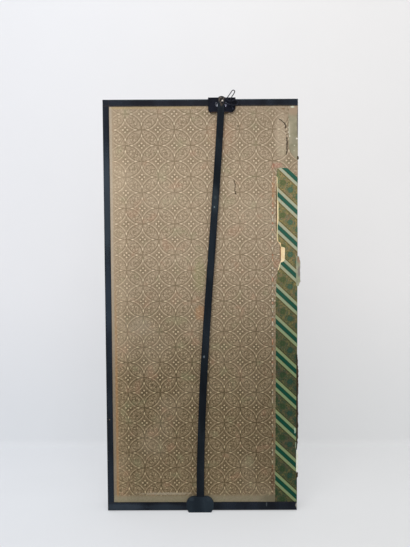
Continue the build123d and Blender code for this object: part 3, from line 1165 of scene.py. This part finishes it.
@dataclass
class BackPaper:
    """The printed paper on the back of panel 1, torn along the brocade strip."""

    left: float = -0.283
    right: float = 0.303
    low: float = 0.0303
    high: float = 1.2853
    face: float = -0.05404
    thickness: float = 0.0002
    cell: float = 0.006
    tear_x: float = 0.238
    tear_z: float = 1.080
    tear_reach: float = 0.024
    tear_side: float = 0.001
    fine_side: float = 0.011
    fine_top: float = 0.012
    rest_rise: float = 0.00007
    curl_reach: float = 0.007
    curl_rise: float = 0.00022
    coarse_rags: Pair = (0.009, 0.0010)
    fine_rags: Pair = (0.0032, 0.0006)
    rest_waves: float = 0.11
    creases: Pair = (0.012, 0.0003)
    curl_waves: Pair = (0.02, 0.00016)

    edge: tuple[Pair, ...] = (
        (0.030, 0.2331),
        (0.264, 0.2346),
        (0.489, 0.2353),
        (0.680, 0.2344),
        (0.745, 0.2372),
        (0.778, 0.2418),
        (0.797, 0.2482),
        (0.806, 0.2510),
        (0.845, 0.2508),
        (0.856, 0.2470),
        (0.868, 0.2385),
        (0.905, 0.2358),
        (0.960, 0.2352),
        (1.045, 0.2350),
        (1.080, 0.2372),
    )
    shoulder: tuple[Pair, ...] = (
        (0.238, 1.0800),
        (0.2395, 1.0915),
        (0.248, 1.0938),
        (0.261, 1.0940),
        (0.274, 1.0916),
        (0.287, 1.0800),
        (0.303, 1.0645),
    )
    blister: Vector = Vector((0.254, 0.0, 1.192))
    blister_half: Pair = (0.019, 0.076)
    blister_rise: float = 0.0008
    crack_x: float = 0.266
    beyond_crack: float = 0.35

    def tear(self, point: Vector) -> Vector:
        """Moves the points near the tear onto its ragged line.

        Args:
            point: a point of the sheet.

        Returns:
            Its new place.
        """
        ragged = rough(Vector((point.x, 0, point.z)), *self.coarse_rags)
        ragged += rough(Vector((point.z, 3, point.x)), *self.fine_rags)
        if point.z < self.tear_z - 1e-6:
            edge = between(point.z, self.edge) + ragged
            share = (point.x - self.tear_x + self.tear_reach) / self.tear_reach
            point.x += max(0.0, min(1.0, share)) * (edge - self.tear_x)
        else:
            edge = between(point.x, self.shoulder) + ragged
            share = (self.tear_z + self.tear_reach - point.z) / self.tear_reach
            side = max(0.0, min(1.0, (point.x - self.tear_x) / self.tear_side))
            point.z += max(0.0, min(1.0, share)) * side * (edge - self.tear_z)
        return point

    def swell(self, point: Vector) -> Vector:
        """Lifts the loose paper off the panel.

        Args:
            point: a point of the sheet.

        Returns:
            Its new place.
        """
        flat = Vector((point.x, 0, point.z))
        rise = self.rest_rise + rough(flat, self.rest_waves, self.rest_rise)
        half_width, half_height = self.blister_half
        gap = Vector(((point.x - self.blister.x) / half_width, (point.z - self.blister.z) / half_height))
        if gap.length < 1:
            dome = (1 - gap.length**2) ** 2
            lip = 1.0 if point.x < self.crack_x else self.beyond_crack
            rise += dome * lip * (self.blister_rise + rough(flat, *self.creases))
        edge = between(point.z, self.edge) if point.z < self.tear_z else self.right + 1
        near = max(0.0, 1 - max(0.0, edge - point.x) / self.curl_reach)
        rise += near**2 * (self.curl_rise + rough(flat, *self.curl_waves))
        point.y -= rise
        return point

    def build(self, material: bpy.types.Material) -> bpy.types.Object:
        """Makes the sheet in place of the plain one.

        Args:
            material: its finish.

        Returns:
            The sheet.
        """
        low = Vector((self.left, self.face, self.low))
        high = Vector((self.right, self.face, self.high))
        sheet = Bench.grid("panel_1_torn_paper", low, high, self.cell)
        Bench.cut(sheet, Vector((self.tear_x, 0, 0)), Vector((1, 0, 0)))
        Bench.cut(sheet, Vector((0, 0, self.tear_z)), Vector((0, 0, 1)))
        Bench.remove_faces(sheet, lambda c: c.x > self.tear_x and c.z < self.tear_z)
        beside = self.tear_x - self.fine_side
        above = self.tear_z + self.fine_top
        Bench.refine(
            sheet,
            lambda c: (c.x > beside and c.z < self.tear_z) or (c.x > self.tear_x and c.z < above),
            cuts=3,
        )
        Bench.move_points(sheet, self.tear)
        Bench.move_points(sheet, self.swell)
        Bench.thicken(sheet, self.thickness)
        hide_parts("panel_1_back_paper")
        return settle(sheet, "panel_1", material)


@dataclass
class EdgeStrip:
    """The brocade beside the hinge of panel 1, with a tear that shows its lining."""

    left: float = 0.228
    right: float = 0.303
    low: float = 0.0303
    high: float = 1.102
    face: float = -0.05382
    thickness: float = 0.00016
    cell: float = 0.004
    reach: float = 0.036
    rest_rise: float = 0.00003
    fine_below_x: float = 0.244
    fine_above_z: float = 0.74
    lining_low: Pair = (0.231, 0.735)
    lining_high: Pair = (0.272, 1.084)
    lining_gap: float = 0.0002
    lining_thickness: float = 0.0001
    rags: Pair = (0.006, 0.0006)
    rest_waves: float = 0.05
    lining_sides: Pair = (0.02, 0.0006)
    lining_ends: Pair = (0.03, 0.0005)

    edge: tuple[Pair, ...] = (
        (0.030, 0.2290),
        (0.762, 0.2290),
        (0.776, 0.2450),
        (0.779, 0.2462),
        (0.799, 0.2508),
        (0.8005, 0.2585),
        (0.806, 0.2632),
        (0.8455, 0.2640),
        (0.8475, 0.2520),
        (0.860, 0.2500),
        (0.864, 0.2425),
        (0.918, 0.2408),
        (0.930, 0.2436),
        (0.986, 0.2434),
        (0.998, 0.2404),
        (1.062, 0.2404),
        (1.072, 0.2360),
        (1.102, 0.2340),
    )

    def tear(self, point: Vector) -> Vector:
        """Moves the points near the strip's torn side onto its ragged line.

        Args:
            point: a point of the strip.

        Returns:
            Its new place.
        """
        ragged = rough(Vector((point.x, 7, point.z)), *self.rags)
        edge = between(point.z, self.edge) + ragged
        share = 1 - (point.x - self.left) / self.reach
        point.x += max(0.0, share) * (edge - self.left)
        flat = Vector((point.x, 0, point.z))
        point.y -= self.rest_rise + rough(flat, self.rest_waves, self.rest_rise)
        return point

    def build(self, cloth: bpy.types.Material, lining: bpy.types.Material) -> None:
        """Makes the strip and its lining in place of the plain strip.

        Args:
            cloth: the strip's finish.
            lining: the lining's finish.
        """
        low = Vector((self.left, self.face, self.low))
        high = Vector((self.right, self.face, self.high))
        strip = Bench.grid("panel_1_torn_brocade", low, high, self.cell)
        Bench.refine(strip, lambda c: c.x < self.fine_below_x and c.z > self.fine_above_z, cuts=1)
        Bench.move_points(strip, self.tear)
        Bench.thicken(strip, self.thickness)
        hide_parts("panel_1_edge_brocade")
        settle(strip, "panel_1", cloth)
        self.add_lining(lining)

    def add_lining(self, lining: bpy.types.Material) -> None:
        """Makes the lining that shows in the tear.

        Args:
            lining: its finish.
        """
        face = self.face + self.lining_gap
        low = Vector((self.lining_low[0], face, self.lining_low[1]))
        high = Vector((self.lining_high[0], face, self.lining_high[1]))
        under = Bench.grid("panel_1_lining_paper", low, high, self.cell)
        Bench.move_points(
            under,
            lambda p: p + Vector((rough(p, *self.lining_sides), 0, rough(p, *self.lining_ends))),
        )
        Bench.thicken(under, self.lining_thickness)
        settle(under, "panel_1", lining)


class Shred(Enum):
    """How a paper along the hinge edge of panel 1 lies."""

    WRAPPED = "wrapped"
    LOOSE = "loose"


class Stock(Enum):
    """What the papers along the hinge edge are torn from."""

    WRAP = "wrap"
    FLAP = "flap"
    DARK = "dark"
    PALE = "pale"


@dataclass(frozen=True)
class LoosePaper:
    """One loose or wrapped paper along the hinge edge of panel 1."""

    name: str
    kind: Shred
    low: float
    high: float
    inner: float
    outer: float
    ragged: float
    face: float = -0.05416
    cell: float = 0.0012
    curl: float = 0.0004
    thickness: float = 0.00014
    fold: float = 0.3033
    fold_clear: float = 0.0012
    clear: float = 0.0016
    squashed: float = 0.28
    jag_size: float = 0.011
    fine_jag_size: float = 0.004
    hem_rags: Pair = (0.004, 0.0006)
    sway: Pair = (0.05, 0.0022)
    waves: Pair = (0.012, 0.0004)
    end_rags: Pair = (0.005, 0.0012)
    hem: tuple[Pair, ...] = ()

    def shape(self, point: Vector) -> Vector:
        """Gives a point of the flat strip its ragged and curled place.

        Args:
            point: a point of the strip, still flat.

        Returns:
            Its new place.
        """
        width = self.outer - self.inner
        share = (point.x - self.inner) / width
        up = (point.z - self.low) / (self.high - self.low)
        seed = Vector((self.low * 9, 5, point.z))
        jag = rough(seed, self.jag_size, self.ragged)
        jag += rough(seed, self.fine_jag_size, self.ragged * 0.5)
        if self.kind is Shred.WRAPPED:
            bottom = between(point.x, self.hem) + rough(point, *self.hem_rags)
            point.z = bottom + up * (self.high - bottom)
            point.x += (1 - share) * (jag + rough(seed, *self.sway))
            bend = max(0.0, point.x - self.fold)
            point.x -= bend
            point.y += bend
            return point
        taper = min(1.0, 6 * up, 6 * (1 - up))
        point.x = self.inner + (point.x - self.inner) * (0.45 + 0.55 * taper) + share * jag
        rise = min(1.0, max(0.0, point.x - self.inner) / (self.fold - self.fold_clear - self.inner))
        wave = abs(rough(point, *self.waves))
        point.y -= rise**2 * self.clear + share**2 * self.curl + wave * share
        end = rough(Vector((point.x, 1, self.high)), *self.end_rags)
        point.z += end * (1 - abs(2 * up - 1) * 0.5)
        return point

    def build(self, material: bpy.types.Material) -> bpy.types.Object:
        """Makes the paper.

        Args:
            material: its finish.

        Returns:
            The paper.
        """
        low = Vector((self.inner, self.face, self.low))
        high = Vector((self.outer, self.face, self.high))
        sheet = Bench.grid(self.name, low, high, self.cell)
        Bench.move_points(sheet, self.shape)
        Bench.thicken(sheet, self.thickness)
        if self.kind is Shred.LOOSE:
            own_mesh(sheet)
        return settle(sheet, "panel_1", material)


WRAP = LoosePaper(
    "edge_wrap_paper",
    Shred.WRAPPED,
    low=1.1150,
    high=1.2853,
    inner=0.2746,
    outer=0.3090,
    ragged=0.0014,
    face=-0.05438,
    cell=0.0018,
    hem=((0.2746, 1.1570), (0.2806, 1.1415), (0.2996, 1.1183), (0.3090, 1.1150)),
)
FLAP = LoosePaper(
    "edge_loose_flap",
    Shred.LOOSE,
    low=0.7240,
    high=0.8190,
    inner=0.2990,
    outer=0.3120,
    ragged=0.0020,
    cell=0.0018,
    curl=0.0012,
)


@dataclass
class Panels:
    """The six panels: frames, core lattices, papers, borders and paper hinges."""

    marks: tuple[Mark, ...] = (
        Mark(-112.0, 58.0, 95.0, 4.2, "aba18c", 0.62, 1.1),
        Mark(-196.0, 602.0, 40.0, 34.0, "a39883", 0.28, 1.4),
        Mark(252.0, 1192.0, 22.0, 80.0, "c4b39b", 0.3, 0.5),
        Mark(117.3, 1223.6, 3.4, 2.6, "4a3c2c", 0.8, 0.25),
        Mark(96.0, 1036.0, 9.0, 30.0, "bcab93", 0.35, 0.4),
        Mark(227.5, 1020.0, 6.0, 60.0, "b07a52", 0.35, 1.2),
        Mark(249.2, 826.0, 2.2, 25.0, "7c4f2e", 0.8, 0.4),
        Mark(238.0, 796.0, 12.0, 16.0, "a9765c", 0.3, 0.9),
        Mark(-4.0, 760.0, 22.0, 60.0, "8d8f60", 0.3, 0.8),
        Mark(-2.0, 640.0, 20.0, 26.0, "b58257", 0.35, 0.7),
        Mark(238.5, 1102.0, 18.0, 9.0, "b0796a", 0.4, 1.0),
        Mark(226.0, 1096.0, 6.0, 12.0, "94583f", 0.4, 1.0),
        Mark(62.0, 1195.0, 50.0, 55.0, "b98d72", 0.18, 0.8),
        Mark(226.0, 98.0, 6.5, 46.0, "4f3326", 0.5, 0.9),
        Mark(236.0, 42.0, 52.0, 15.0, "57523d", 0.5, 0.6),
        Mark(258.0, 1275.3, 6.0, 2.6, "7a6049", 0.8, 0.6),
        Mark(273.2, 1232.2, 2.2, 2.6, "5f4a33", 0.8, 0.4),
        Mark(263.8, 1216.5, 2.4, 2.6, "46331f", 0.9, 0.4),
        Mark(266.0, 1204.9, 2.4, 2.6, "46331f", 0.9, 0.4),
        Mark(268.9, 1196.3, 2.2, 2.4, "46331f", 0.9, 0.4),
        Mark(273.6, 1217.8, 2.0, 2.6, "e2d8c8", 0.8, 0.4),
        Mark(273.6, 1203.5, 1.8, 2.6, "e2d8c8", 0.8, 0.4),
    )
    cracks: tuple[Crack, ...] = (
        Crack(((110.2, 1012.0), (106.8, 1024.0), (108.0, 1040.0), (104.0, 1058.0)), 1.3),
        Crack(((266.8, 1133.7), (269.2, 1145.8), (270.1, 1171.7), (268.6, 1188.6)), 1.9),
        Crack(
            ((264.5, 1218.0), (265.3, 1224.3), (260.7, 1232.6), (251.4, 1240.1), (244.0, 1245.0)),
            2.3,
        ),
    )

    frame_wear_and_painted_light: tuple[Mark, ...] = (
        # painted light: the left stile is lighter from its middle up, where the lamp falls
        Mark(-293.0, 985.0, 15.0, 190.0, "434e58", 0.5, 0.9),
        Mark(-293.0, 690.0, 15.0, 120.0, "36414e", 0.45, 0.9),
        Mark(-250.0, 14.0, 70.0, 13.0, "434e59", 0.45, 1.1),
        Mark(301.8, 19.0, 3.2, 9.0, "b5b0a4", 0.7, 0.9),
        Mark(206.0, 22.0, 2.0, 8.0, "6b6f72", 0.4, 1.0),
        # painted highlight along the rounded top edge of the top rails
        Mark(0.0, 1305.4, 300.0, 1.6, "5c6a70", 0.5, 1.3),
        Mark(20.0, 1295.0, 290.0, 9.0, "100c18", 0.35, 0.3),
        Mark(-120.0, 13.0, 70.0, 12.0, "2f3943", 0.5, 0.8),
    )
    edge_papers: tuple[tuple[LoosePaper, Stock], ...] = (
        (LoosePaper("edge_shred_pale", Shred.LOOSE, 0.1258, 0.1996, 0.3005, 0.3066, 0.0006), Stock.PALE),
        (WRAP, Stock.WRAP),
        (FLAP, Stock.FLAP),
        (LoosePaper("edge_shred_long", Shred.LOOSE, 0.2020, 0.5080, 0.3005, 0.3062, 0.0016), Stock.DARK),
        (LoosePaper("edge_shred_low", Shred.LOOSE, 0.1085, 0.1290, 0.3005, 0.3058, 0.0010), Stock.DARK),
        (LoosePaper("edge_shred_high", Shred.LOOSE, 1.1185, 1.1300, 0.3005, 0.3056, 0.0008), Stock.DARK),
    )
    wrap_marks: tuple[Mark, ...] = (
        Mark(290.0, 1272.0, 22.0, 20.0, "9a836e", 0.75, 1.0),
        Mark(301.8, 1232.0, 2.0, 54.0, "453e36", 0.8, 0.5),
        Mark(277.6, 1191.9, 2.4, 3.0, "d6d2be", 0.8, 0.4),
        Mark(277.0, 1212.0, 1.8, 22.0, "c4bda8", 0.5, 1.3),
        Mark(299.8, 1184.0, 3.4, 3.0, "d8d0c4", 0.9, 0.4),
        Mark(292.9, 1163.0, 2.2, 2.4, "c6c4b0", 0.8, 0.4),
        Mark(291.5, 1147.2, 2.2, 2.4, "b9b8a0", 0.7, 0.4),
        Mark(286.1, 1281.5, 7.0, 3.0, "cdd3bd", 0.85, 0.7),
        Mark(291.0, 1178.0, 8.0, 12.0, "7b7866", 0.4, 0.9),
    )
    lining_patches_and_shadow: tuple[Mark, ...] = (
        # painted shadow: a dark line on the lining along the torn paper's edge
        Mark(236.9, 965.0, 2.6, 112.0, "45341c", 0.92, 0.35),
        Mark(242.6, 958.0, 2.4, 40.0, "d3c794", 0.7, 0.6),
        Mark(240.6, 1022.0, 2.0, 44.0, "b4bd98", 0.75, 0.5),
        Mark(240.6, 893.0, 2.0, 30.0, "aeb28a", 0.7, 0.5),
        Mark(247.0, 789.0, 5.0, 14.0, "dfe0bd", 0.6, 0.5),
    )
    flap_marks: tuple[Mark, ...] = (
        Mark(307.0, 808.0, 6.0, 14.0, "8c5a48", 0.6, 1.3),
        Mark(308.0, 770.0, 5.0, 20.0, "776a6a", 0.7, 0.8),
    )

    def build(self) -> None:
        """Makes the torn papers and dresses every node of the panels."""
        printed = PrintedPaper("printed_paper").make()
        aged = PrintedPaper("printed_paper_torn", self.marks, self.cracks, torn=True).make()
        banded = BandedBrocade("banded_brocade").make()
        lining = FibrePaper("lining_paper", "f4deb6", "eed2a2", "cfae7c", self.lining_patches_and_shadow).make()
        BackPaper().build(aged)
        EdgeStrip().build(banded, lining)
        self.add_loose_papers()
        self.dress_nodes(printed)

    def add_loose_papers(self) -> None:
        """Adds the wrapped and torn papers along the hinge edge."""
        wrap = FibrePaper("wrap_paper", "98907a", "86806a", "76705a", self.wrap_marks).make()
        flap = FibrePaper("flap_paper", "b3a796", "92977c", "7a6660", self.flap_marks).make()
        dark = FibrePaper("shred_paper", "3d3020", "2d2318", "1f1811").make()
        pale = FibrePaper("pale_shred_paper", "e6e8dc", "dadccd", "b9b8a4").make()
        finishes = {Stock.PALE: pale, Stock.WRAP: wrap, Stock.FLAP: flap, Stock.DARK: dark}
        for paper, stock in self.edge_papers:
            paper.build(finishes[stock])

    def dress_nodes(self, printed: bpy.types.Material) -> None:
        """Dresses the carried-over nodes.

        Args:
            printed: the finish of the back papers.
        """
        lacquer = Lacquer(
            "frame_lacquer",
            deep="0c1119",
            clouded="19212c",
            marks=self.frame_wear_and_painted_light,
            rubbed="42372e",
            specular=0.12,
            rub=0.45,
            dust=0.1,
            inner_lines=True,
        ).make()
        wood = Cedar("cedar_core").make()
        leaf = LeafedPaper("leafed_paper").make()
        border = BorderBrocade("border_brocade").make()
        hinge = FibrePaper("hinge_paper", "8d8068", "6f634d", "4a3d2c").make()
        numbers = range(1, PANELS + 1)
        rails = [f"panel_{i}_{part}_rail" for i in numbers for part in ("top", "bottom")]
        dress([*rails, "panel_1_stile", "panel_6_stile"], lacquer)
        dress([f"panel_{i}_core_lattice" for i in numbers], wood)
        dress([f"panel_{i}_front_paper" for i in numbers], leaf)
        dress([f"panel_{i}_front_border" for i in numbers], border)
        dress([f"panel_{i}_back_paper" for i in numbers], printed)
        dress(["panel_1_edge_brocade"], border)
        dress([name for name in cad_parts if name.startswith("hinge_")], hinge)


# ---- Clamp ----


@dataclass
class Clamp:
    """The lacquered clamp that holds the folded panels, and its tying cord."""

    lath_wear_and_highlight: tuple[Mark, ...] = (
        Mark(45.6, 1003.0, 4.5, 6.0, "334043", 0.7, 0.7),
        Mark(42.8, 973.0, 2.2, 2.8, "87989e", 0.9, 0.3),
        Mark(30.0, 830.0, 14.0, 90.0, "222b33", 0.4, 0.8),
        Mark(64.0, 1225.0, 16.0, 62.0, "090d15", 0.55, 0.4),
        Mark(44.0, 998.0, 14.0, 46.0, "3a4348", 0.34, 0.6),
        Mark(4.0, 338.0, 18.0, 96.0, "070b10", 0.6, 0.4),
        Mark(7.9, 502.7, 3.0, 4.2, "6a747c", 0.8, 0.5),
        Mark(66.3, 1305.0, 10.5, 14.0, "2c2722", 0.6, 0.9),
        Mark(66.0, 1288.0, 4.0, 6.0, "4c4036", 0.6, 0.9),
        # painted highlight: a pale spot on the lath's worn head
        Mark(68.9, 1299.6, 3.2, 3.4, "d3c9bf", 0.95, 0.4),
        Mark(72.4, 1293.6, 1.6, 3.4, "6d5b4c", 0.7, 0.6),
        Mark(59.0, 1303.0, 1.6, 5.5, "7d6f63", 0.6, 0.7),
        Mark(63.4, 1309.0, 4.6, 1.6, "86786b", 0.6, 0.8),
        Mark(72.6, 1307.0, 1.5, 4.4, "6c6057", 0.6, 0.7),
        Mark(62.4, 1294.8, 1.4, 4.8, "6d6156", 0.55, 0.7),
    )
    head_wear_and_glints: tuple[Mark, ...] = (
        Mark(48.0, 1265.0, 16.0, 1.6, "6b5334", 0.4, 0.9),
        Mark(82.0, 1265.2, 12.0, 1.6, "5f4a30", 0.35, 0.9),
        # painted glints: pale marks on the head's lacquer inside the eyelets, beside the lath
        Mark(52.6, 1286.0, 1.3, 4.6, "b2b6c6", 0.85, 0.2),
        Mark(79.6, 1285.6, 1.3, 4.6, "a49fb6", 0.85, 0.2),
    )
    eyelet_glints: tuple[Mark, ...] = (
        # painted glints on the eyelets' sides next to the lath
        Mark(53.4, 1286.0, 1.7, 5.4, "d4d7e2", 0.95, 0.2),
        Mark(78.8, 1285.6, 1.7, 5.4, "c6c0d6", 0.95, 0.2),
    )
    foot_marks: tuple[Mark, ...] = (
        Mark(-34.0, 44.0, 9.0, 7.0, "3c454c", 0.4, 0.7),
        Mark(20.0, 44.0, 9.0, 7.0, "343d44", 0.4, 0.7),
    )

    def build(self) -> None:
        """Dresses both halves and adds the cord."""
        parts = (
            ("lath", "0e141a", "1a2128", self.lath_wear_and_highlight),
            ("head", "060812", "0d101e", self.head_wear_and_glints),
            ("foot", "1b242c", "2c3740", self.foot_marks),
        )
        for part, deep, clouded, marks in parts:
            material = Lacquer(f"clamp_{part}_lacquer", deep, clouded, marks).make()
            dress([f"rear_clamp_{part}", f"front_clamp_{part}"], material)
        metal = OldMetal("eyelet_metal", self.eyelet_glints).make()
        dress(["rear_clamp_eyelets", "front_clamp_eyelets"], metal)
        TyingCord().build(SilkCord("tying_cord").make())


@dataclass
class TyingCord:
    """The cord of the clamp: three strands laid together, ending in a knot."""

    mouth: Vector = Vector((0.0686, -0.0618, 1.2960))
    diameter: float = 0.0030
    strands: int = 3
    strand_share: float = 0.56
    lay_length: float = 0.0085
    knot_radius: float = 0.0012
    knot_swing: float = 0.0009
    knot_depth: float = 0.0016
    knot_strand: float = 0.00115
    knot_reach: float = 0.0030
    knot_steps: int = 90
    tail_step: float = 0.0005
    tail_radius: float = 0.0011
    tail_points: int = 8
    curve_steps: int = 14
    route: tuple[tuple[float, float, float], ...] = (
        (0.0, 0.0, 0.0),
        (0.0, -9.2, 0.0),
        (5.0, -14.6, -2.6),
        (14.5, -14.8, -6.4),
        (25.5, -10.8, -9.6),
        (37.0, -7.0, -10.6),
        (46.4, -5.4, -8.2),
        (50.2, -5.0, -1.4),
        (45.4, -6.0, 5.2),
        (35.4, -8.6, 5.4),
        (27.0, -11.0, 1.6),
        (17.2, -11.8, 1.6),
        (13.4, -10.4, 9.0),
        (19.0, -8.0, 17.8),
        (25.4, -6.6, 26.4),
        (31.5, -6.3, 35.7),
        (36.7, -6.2, 35.4),
        (39.0, -6.0, 30.8),
        (34.0, -5.6, 22.4),
        (27.4, -4.9, 13.0),
        (25.6, -4.5, 4.0),
        (27.2, -4.4, -5.6),
        (29.4, -4.2, -12.6),
        (31.4, -4.2, -19.0),
    )

    def centreline(self) -> list[Vector]:
        """Lays the cord's smooth line.

        Returns:
            Points of the line, close together.
        """
        line = bpy.data.curves.new("cord_route", "CURVE")
        line.dimensions = "3D"
        line.resolution_u = self.curve_steps
        spline = line.splines.new("NURBS")
        spline.points.add(len(self.route) - 1)
        for point, step in zip(spline.points, self.route):
            point.co = (*(self.mouth + Vector(step) * MM), 1.0)
        spline.order_u = 3
        spline.use_endpoint_u = True
        holder = bpy.data.objects.new("cord_route", line)
        bpy.context.scene.collection.objects.link(holder)
        bpy.context.view_layer.update()
        shaped = holder.evaluated_get(bpy.context.evaluated_depsgraph_get())
        mesh = bpy.data.meshes.new_from_object(shaped)
        points = [vertex.co.copy() for vertex in mesh.vertices]
        bpy.data.meshes.remove(mesh)
        bpy.data.objects.remove(holder)
        bpy.data.curves.remove(line)
        return points

    def strand_points(self, line: Sequence[Vector], start: float, radius: float) -> list[Vector]:
        """Winds one strand round the cord's line.

        Args:
            line: the cord's line.
            start: the strand's place round the line at its start, in radians.
            radius: how far its middle lies from the line.

        Returns:
            The strand's points.
        """
        side = Vector((1, 0, 0))
        travelled = 0.0
        points = []
        for k, here in enumerate(line):
            before = line[max(0, k - 1)]
            after = line[min(len(line) - 1, k + 1)]
            along = (after - before).normalized()
            side = (side - along * side.dot(along)).normalized()
            travelled += (here - before).length
            turn = start + math.tau * travelled / self.lay_length
            points.append(here + Matrix.Rotation(turn, 3, along) @ side * radius)
        return points

    @staticmethod
    def tube(name: str, points: Sequence[Vector], radius: float, closed: bool) -> bpy.types.Object:
        """Makes a round tube along points.

        Args:
            name: the object's name.
            points: the points of its middle.
            radius: its radius.
            closed: whether it runs back into itself.

        Returns:
            The tube, as a mesh.
        """
        curve = bpy.data.curves.new(name, "CURVE")
        curve.dimensions = "3D"
        curve.bevel_depth = radius
        curve.bevel_resolution = 2
        curve.use_fill_caps = not closed
        spline = curve.splines.new("POLY")
        spline.points.add(len(points) - 1)
        for point, place in zip(spline.points, points):
            point.co = (*place, 1.0)
        spline.use_cyclic_u = closed
        obj = bpy.data.objects.new(name, curve)
        bpy.context.scene.collection.objects.link(obj)
        Bench.pick(obj)
        bpy.ops.object.convert(target="MESH")
        made = bpy.context.active_object
        bpy.ops.object.shade_smooth()
        return made

    @staticmethod
    def join(name: str, pieces: Sequence[bpy.types.Object]) -> bpy.types.Object:
        """Joins pieces into one object.

        Args:
            name: its name.
            pieces: the pieces.

        Returns:
            The object.
        """
        Bench.pick(pieces[0])
        for piece in pieces[1:]:
            piece.select_set(True)
        bpy.ops.object.join()
        joined = bpy.context.active_object
        joined.name = name
        joined.data.name = name
        return joined

    def knot(self, line: Sequence[Vector]) -> bpy.types.Object:
        """Ties the knot at the end of the cord.

        Args:
            line: the cord's line.

        Returns:
            The knot, with its short tail.
        """
        along = (line[-1] - line[-3]).normalized()
        turn = along.to_track_quat("Z", "Y").to_matrix()
        centre = line[-1] + along * self.knot_reach
        loop = []
        for k in range(self.knot_steps):
            a = math.tau * k / self.knot_steps
            ring = self.knot_radius + self.knot_swing * math.cos(3 * a)
            depth = self.knot_depth * math.sin(3 * a)
            loop.append(centre + turn @ Vector((ring * math.cos(2 * a), ring * math.sin(2 * a), depth)))
        wraps = self.tube("knot_wraps", loop, self.knot_strand, closed=True)
        places = [centre + along * (self.tail_step * k) for k in range(self.tail_points)]
        tail = self.tube("knot_tail", places, self.tail_radius, closed=False)
        return self.join("clamp_cord_tied_knot", [wraps, tail])

    def build(self, material: bpy.types.Material) -> None:
        """Makes the cord and its knot in place of the plain ones.

        Args:
            material: the silk.
        """
        line = self.centreline()
        radius = self.diameter / 2
        strand_radius = radius * self.strand_share
        pieces = []
        for k in range(self.strands):
            start = math.tau * k / self.strands
            points = self.strand_points(line, start, radius - strand_radius)
            pieces.append(self.tube(f"strand_{k + 1}", points, strand_radius, closed=False))
        cord = self.join("clamp_cord_laid", pieces)
        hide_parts("clamp_cord")
        settle(cord, "rear_clamp", material)
        knot = self.knot(line)
        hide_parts("clamp_cord_knot")
        settle(knot, "rear_clamp", material)


# ---- Studio ----


@dataclass(frozen=True)
class Lamp:
    """One soft square lamp: where it hangs, what it looks at, its side and its watts."""

    name: str
    place: Vector
    aim: Vector
    size: float
    power: float

    def hang(self) -> None:
        """Adds the lamp to the scene."""
        light = bpy.data.lights.new(self.name, "AREA")
        light.shape = "SQUARE"
        light.size = self.size
        light.energy = self.power
        holder = bpy.data.objects.new(self.name, light)
        turn = (self.aim - self.place).to_track_quat("-Z", "Y").to_matrix().to_4x4()
        holder.matrix_world = Matrix.Translation(self.place) @ turn
        bpy.context.scene.collection.objects.link(holder)


@dataclass
class Studio:
    """A pale floor that curves up into a backdrop, soft lamps and the camera."""

    half_width: float = 4.0
    front: float = -4.5
    wall: float = 0.70
    height: float = 4.2
    cove: float = 0.03
    cove_segments: int = 14
    near: float = 0.01
    even_light: float = 0.5
    lamps: tuple[Lamp, ...] = (
        Lamp("soft_key", Vector((-0.2, -1.7, 2.45)), Vector((0.0, 0.0, 0.85)), 1.25, 30.5),
        Lamp("soft_top", Vector((0.0, -0.3, 3.3)), Vector((0.0, 0.5, 0.8)), 2.6, 29.0),
    )
    camera_place: Vector = Vector((0.02490, -2.6310, 0.94479))
    lens: float = 54.04
    pitch: float = 0.06976
    yaw: float = -0.00485
    roll: float = -0.00512

    def add_backdrop(self) -> None:
        """Makes the floor and wall in one sheet with a rounded corner."""
        Bench.clear()
        middle = (self.front + self.wall) / 2
        bpy.ops.mesh.primitive_plane_add(size=1.0, location=(0, middle, 0))
        sheet = bpy.context.active_object
        sheet.name = "backdrop"
        sheet.scale = (2 * self.half_width, self.wall - self.front, 1.0)
        bpy.ops.object.transform_apply(location=True, rotation=True, scale=True)
        back = self.wall - self.near
        Bench.choose(sheet, Part.EDGE, lambda a, b: min(a.y, b.y) > back)
        bpy.ops.mesh.extrude_region_move(TRANSFORM_OT_translate={"value": (0, 0, self.height)})
        bpy.ops.object.mode_set(mode="OBJECT")
        Bench.choose(
            sheet, Part.EDGE, lambda a, b: min(a.y, b.y) > back and max(a.z, b.z) < self.near
        )
        bpy.ops.mesh.bevel(offset=self.cove, segments=self.cove_segments, affect="EDGES")
        bpy.ops.object.mode_set(mode="OBJECT")
        bpy.ops.object.shade_smooth()
        sheet.data.materials.append(StudioPaint("studio_paint").make())
        LOG.info("made the backdrop")

    def add_light(self) -> None:
        """Hangs the lamps and sets the even light all round."""
        for lamp in self.lamps:
            lamp.hang()
        world = bpy.data.worlds.new("even_light")
        world.use_nodes = True
        background = world.node_tree.nodes["Background"]
        background.inputs["Color"].default_value = (1.0, 1.0, 1.0, 1.0)
        background.inputs["Strength"].default_value = self.even_light
        bpy.context.scene.world = world

    def add_camera(self) -> None:
        """Sets up the camera in front of the folded screen."""
        forward = Vector(
            (
                math.sin(self.yaw) * math.cos(self.pitch),
                math.cos(self.yaw) * math.cos(self.pitch),
                -math.sin(self.pitch),
            )
        )
        right = Vector((math.cos(self.yaw), -math.sin(self.yaw), 0.0))
        up = right.cross(forward)
        turned = right * math.cos(self.roll) + up * math.sin(self.roll)
        lifted = up * math.cos(self.roll) - right * math.sin(self.roll)
        data = bpy.data.cameras.new("camera")
        data.lens = self.lens
        camera = bpy.data.objects.new("camera", data)
        turn = Matrix((turned, lifted, -forward)).transposed().to_4x4()
        camera.matrix_world = Matrix.Translation(self.camera_place) @ turn
        bpy.context.scene.collection.objects.link(camera)
        bpy.context.scene.camera = camera

    def build(self) -> None:
        """Makes the backdrop, the lamps and the camera."""
        self.add_camera()
        self.add_light()
        self.add_backdrop()
        bpy.context.scene.view_settings.view_transform = "Standard"


def main() -> None:
    """Builds the studio, the panels and the clamp in order."""
    logging.basicConfig(level=logging.INFO, format="%(name)s: %(message)s")
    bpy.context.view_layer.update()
    Studio().build()
    Clamp().build()
    Panels().build()
    Bench.clear()
    LOG.info("finished")


if __name__ == "__main__":
    main()
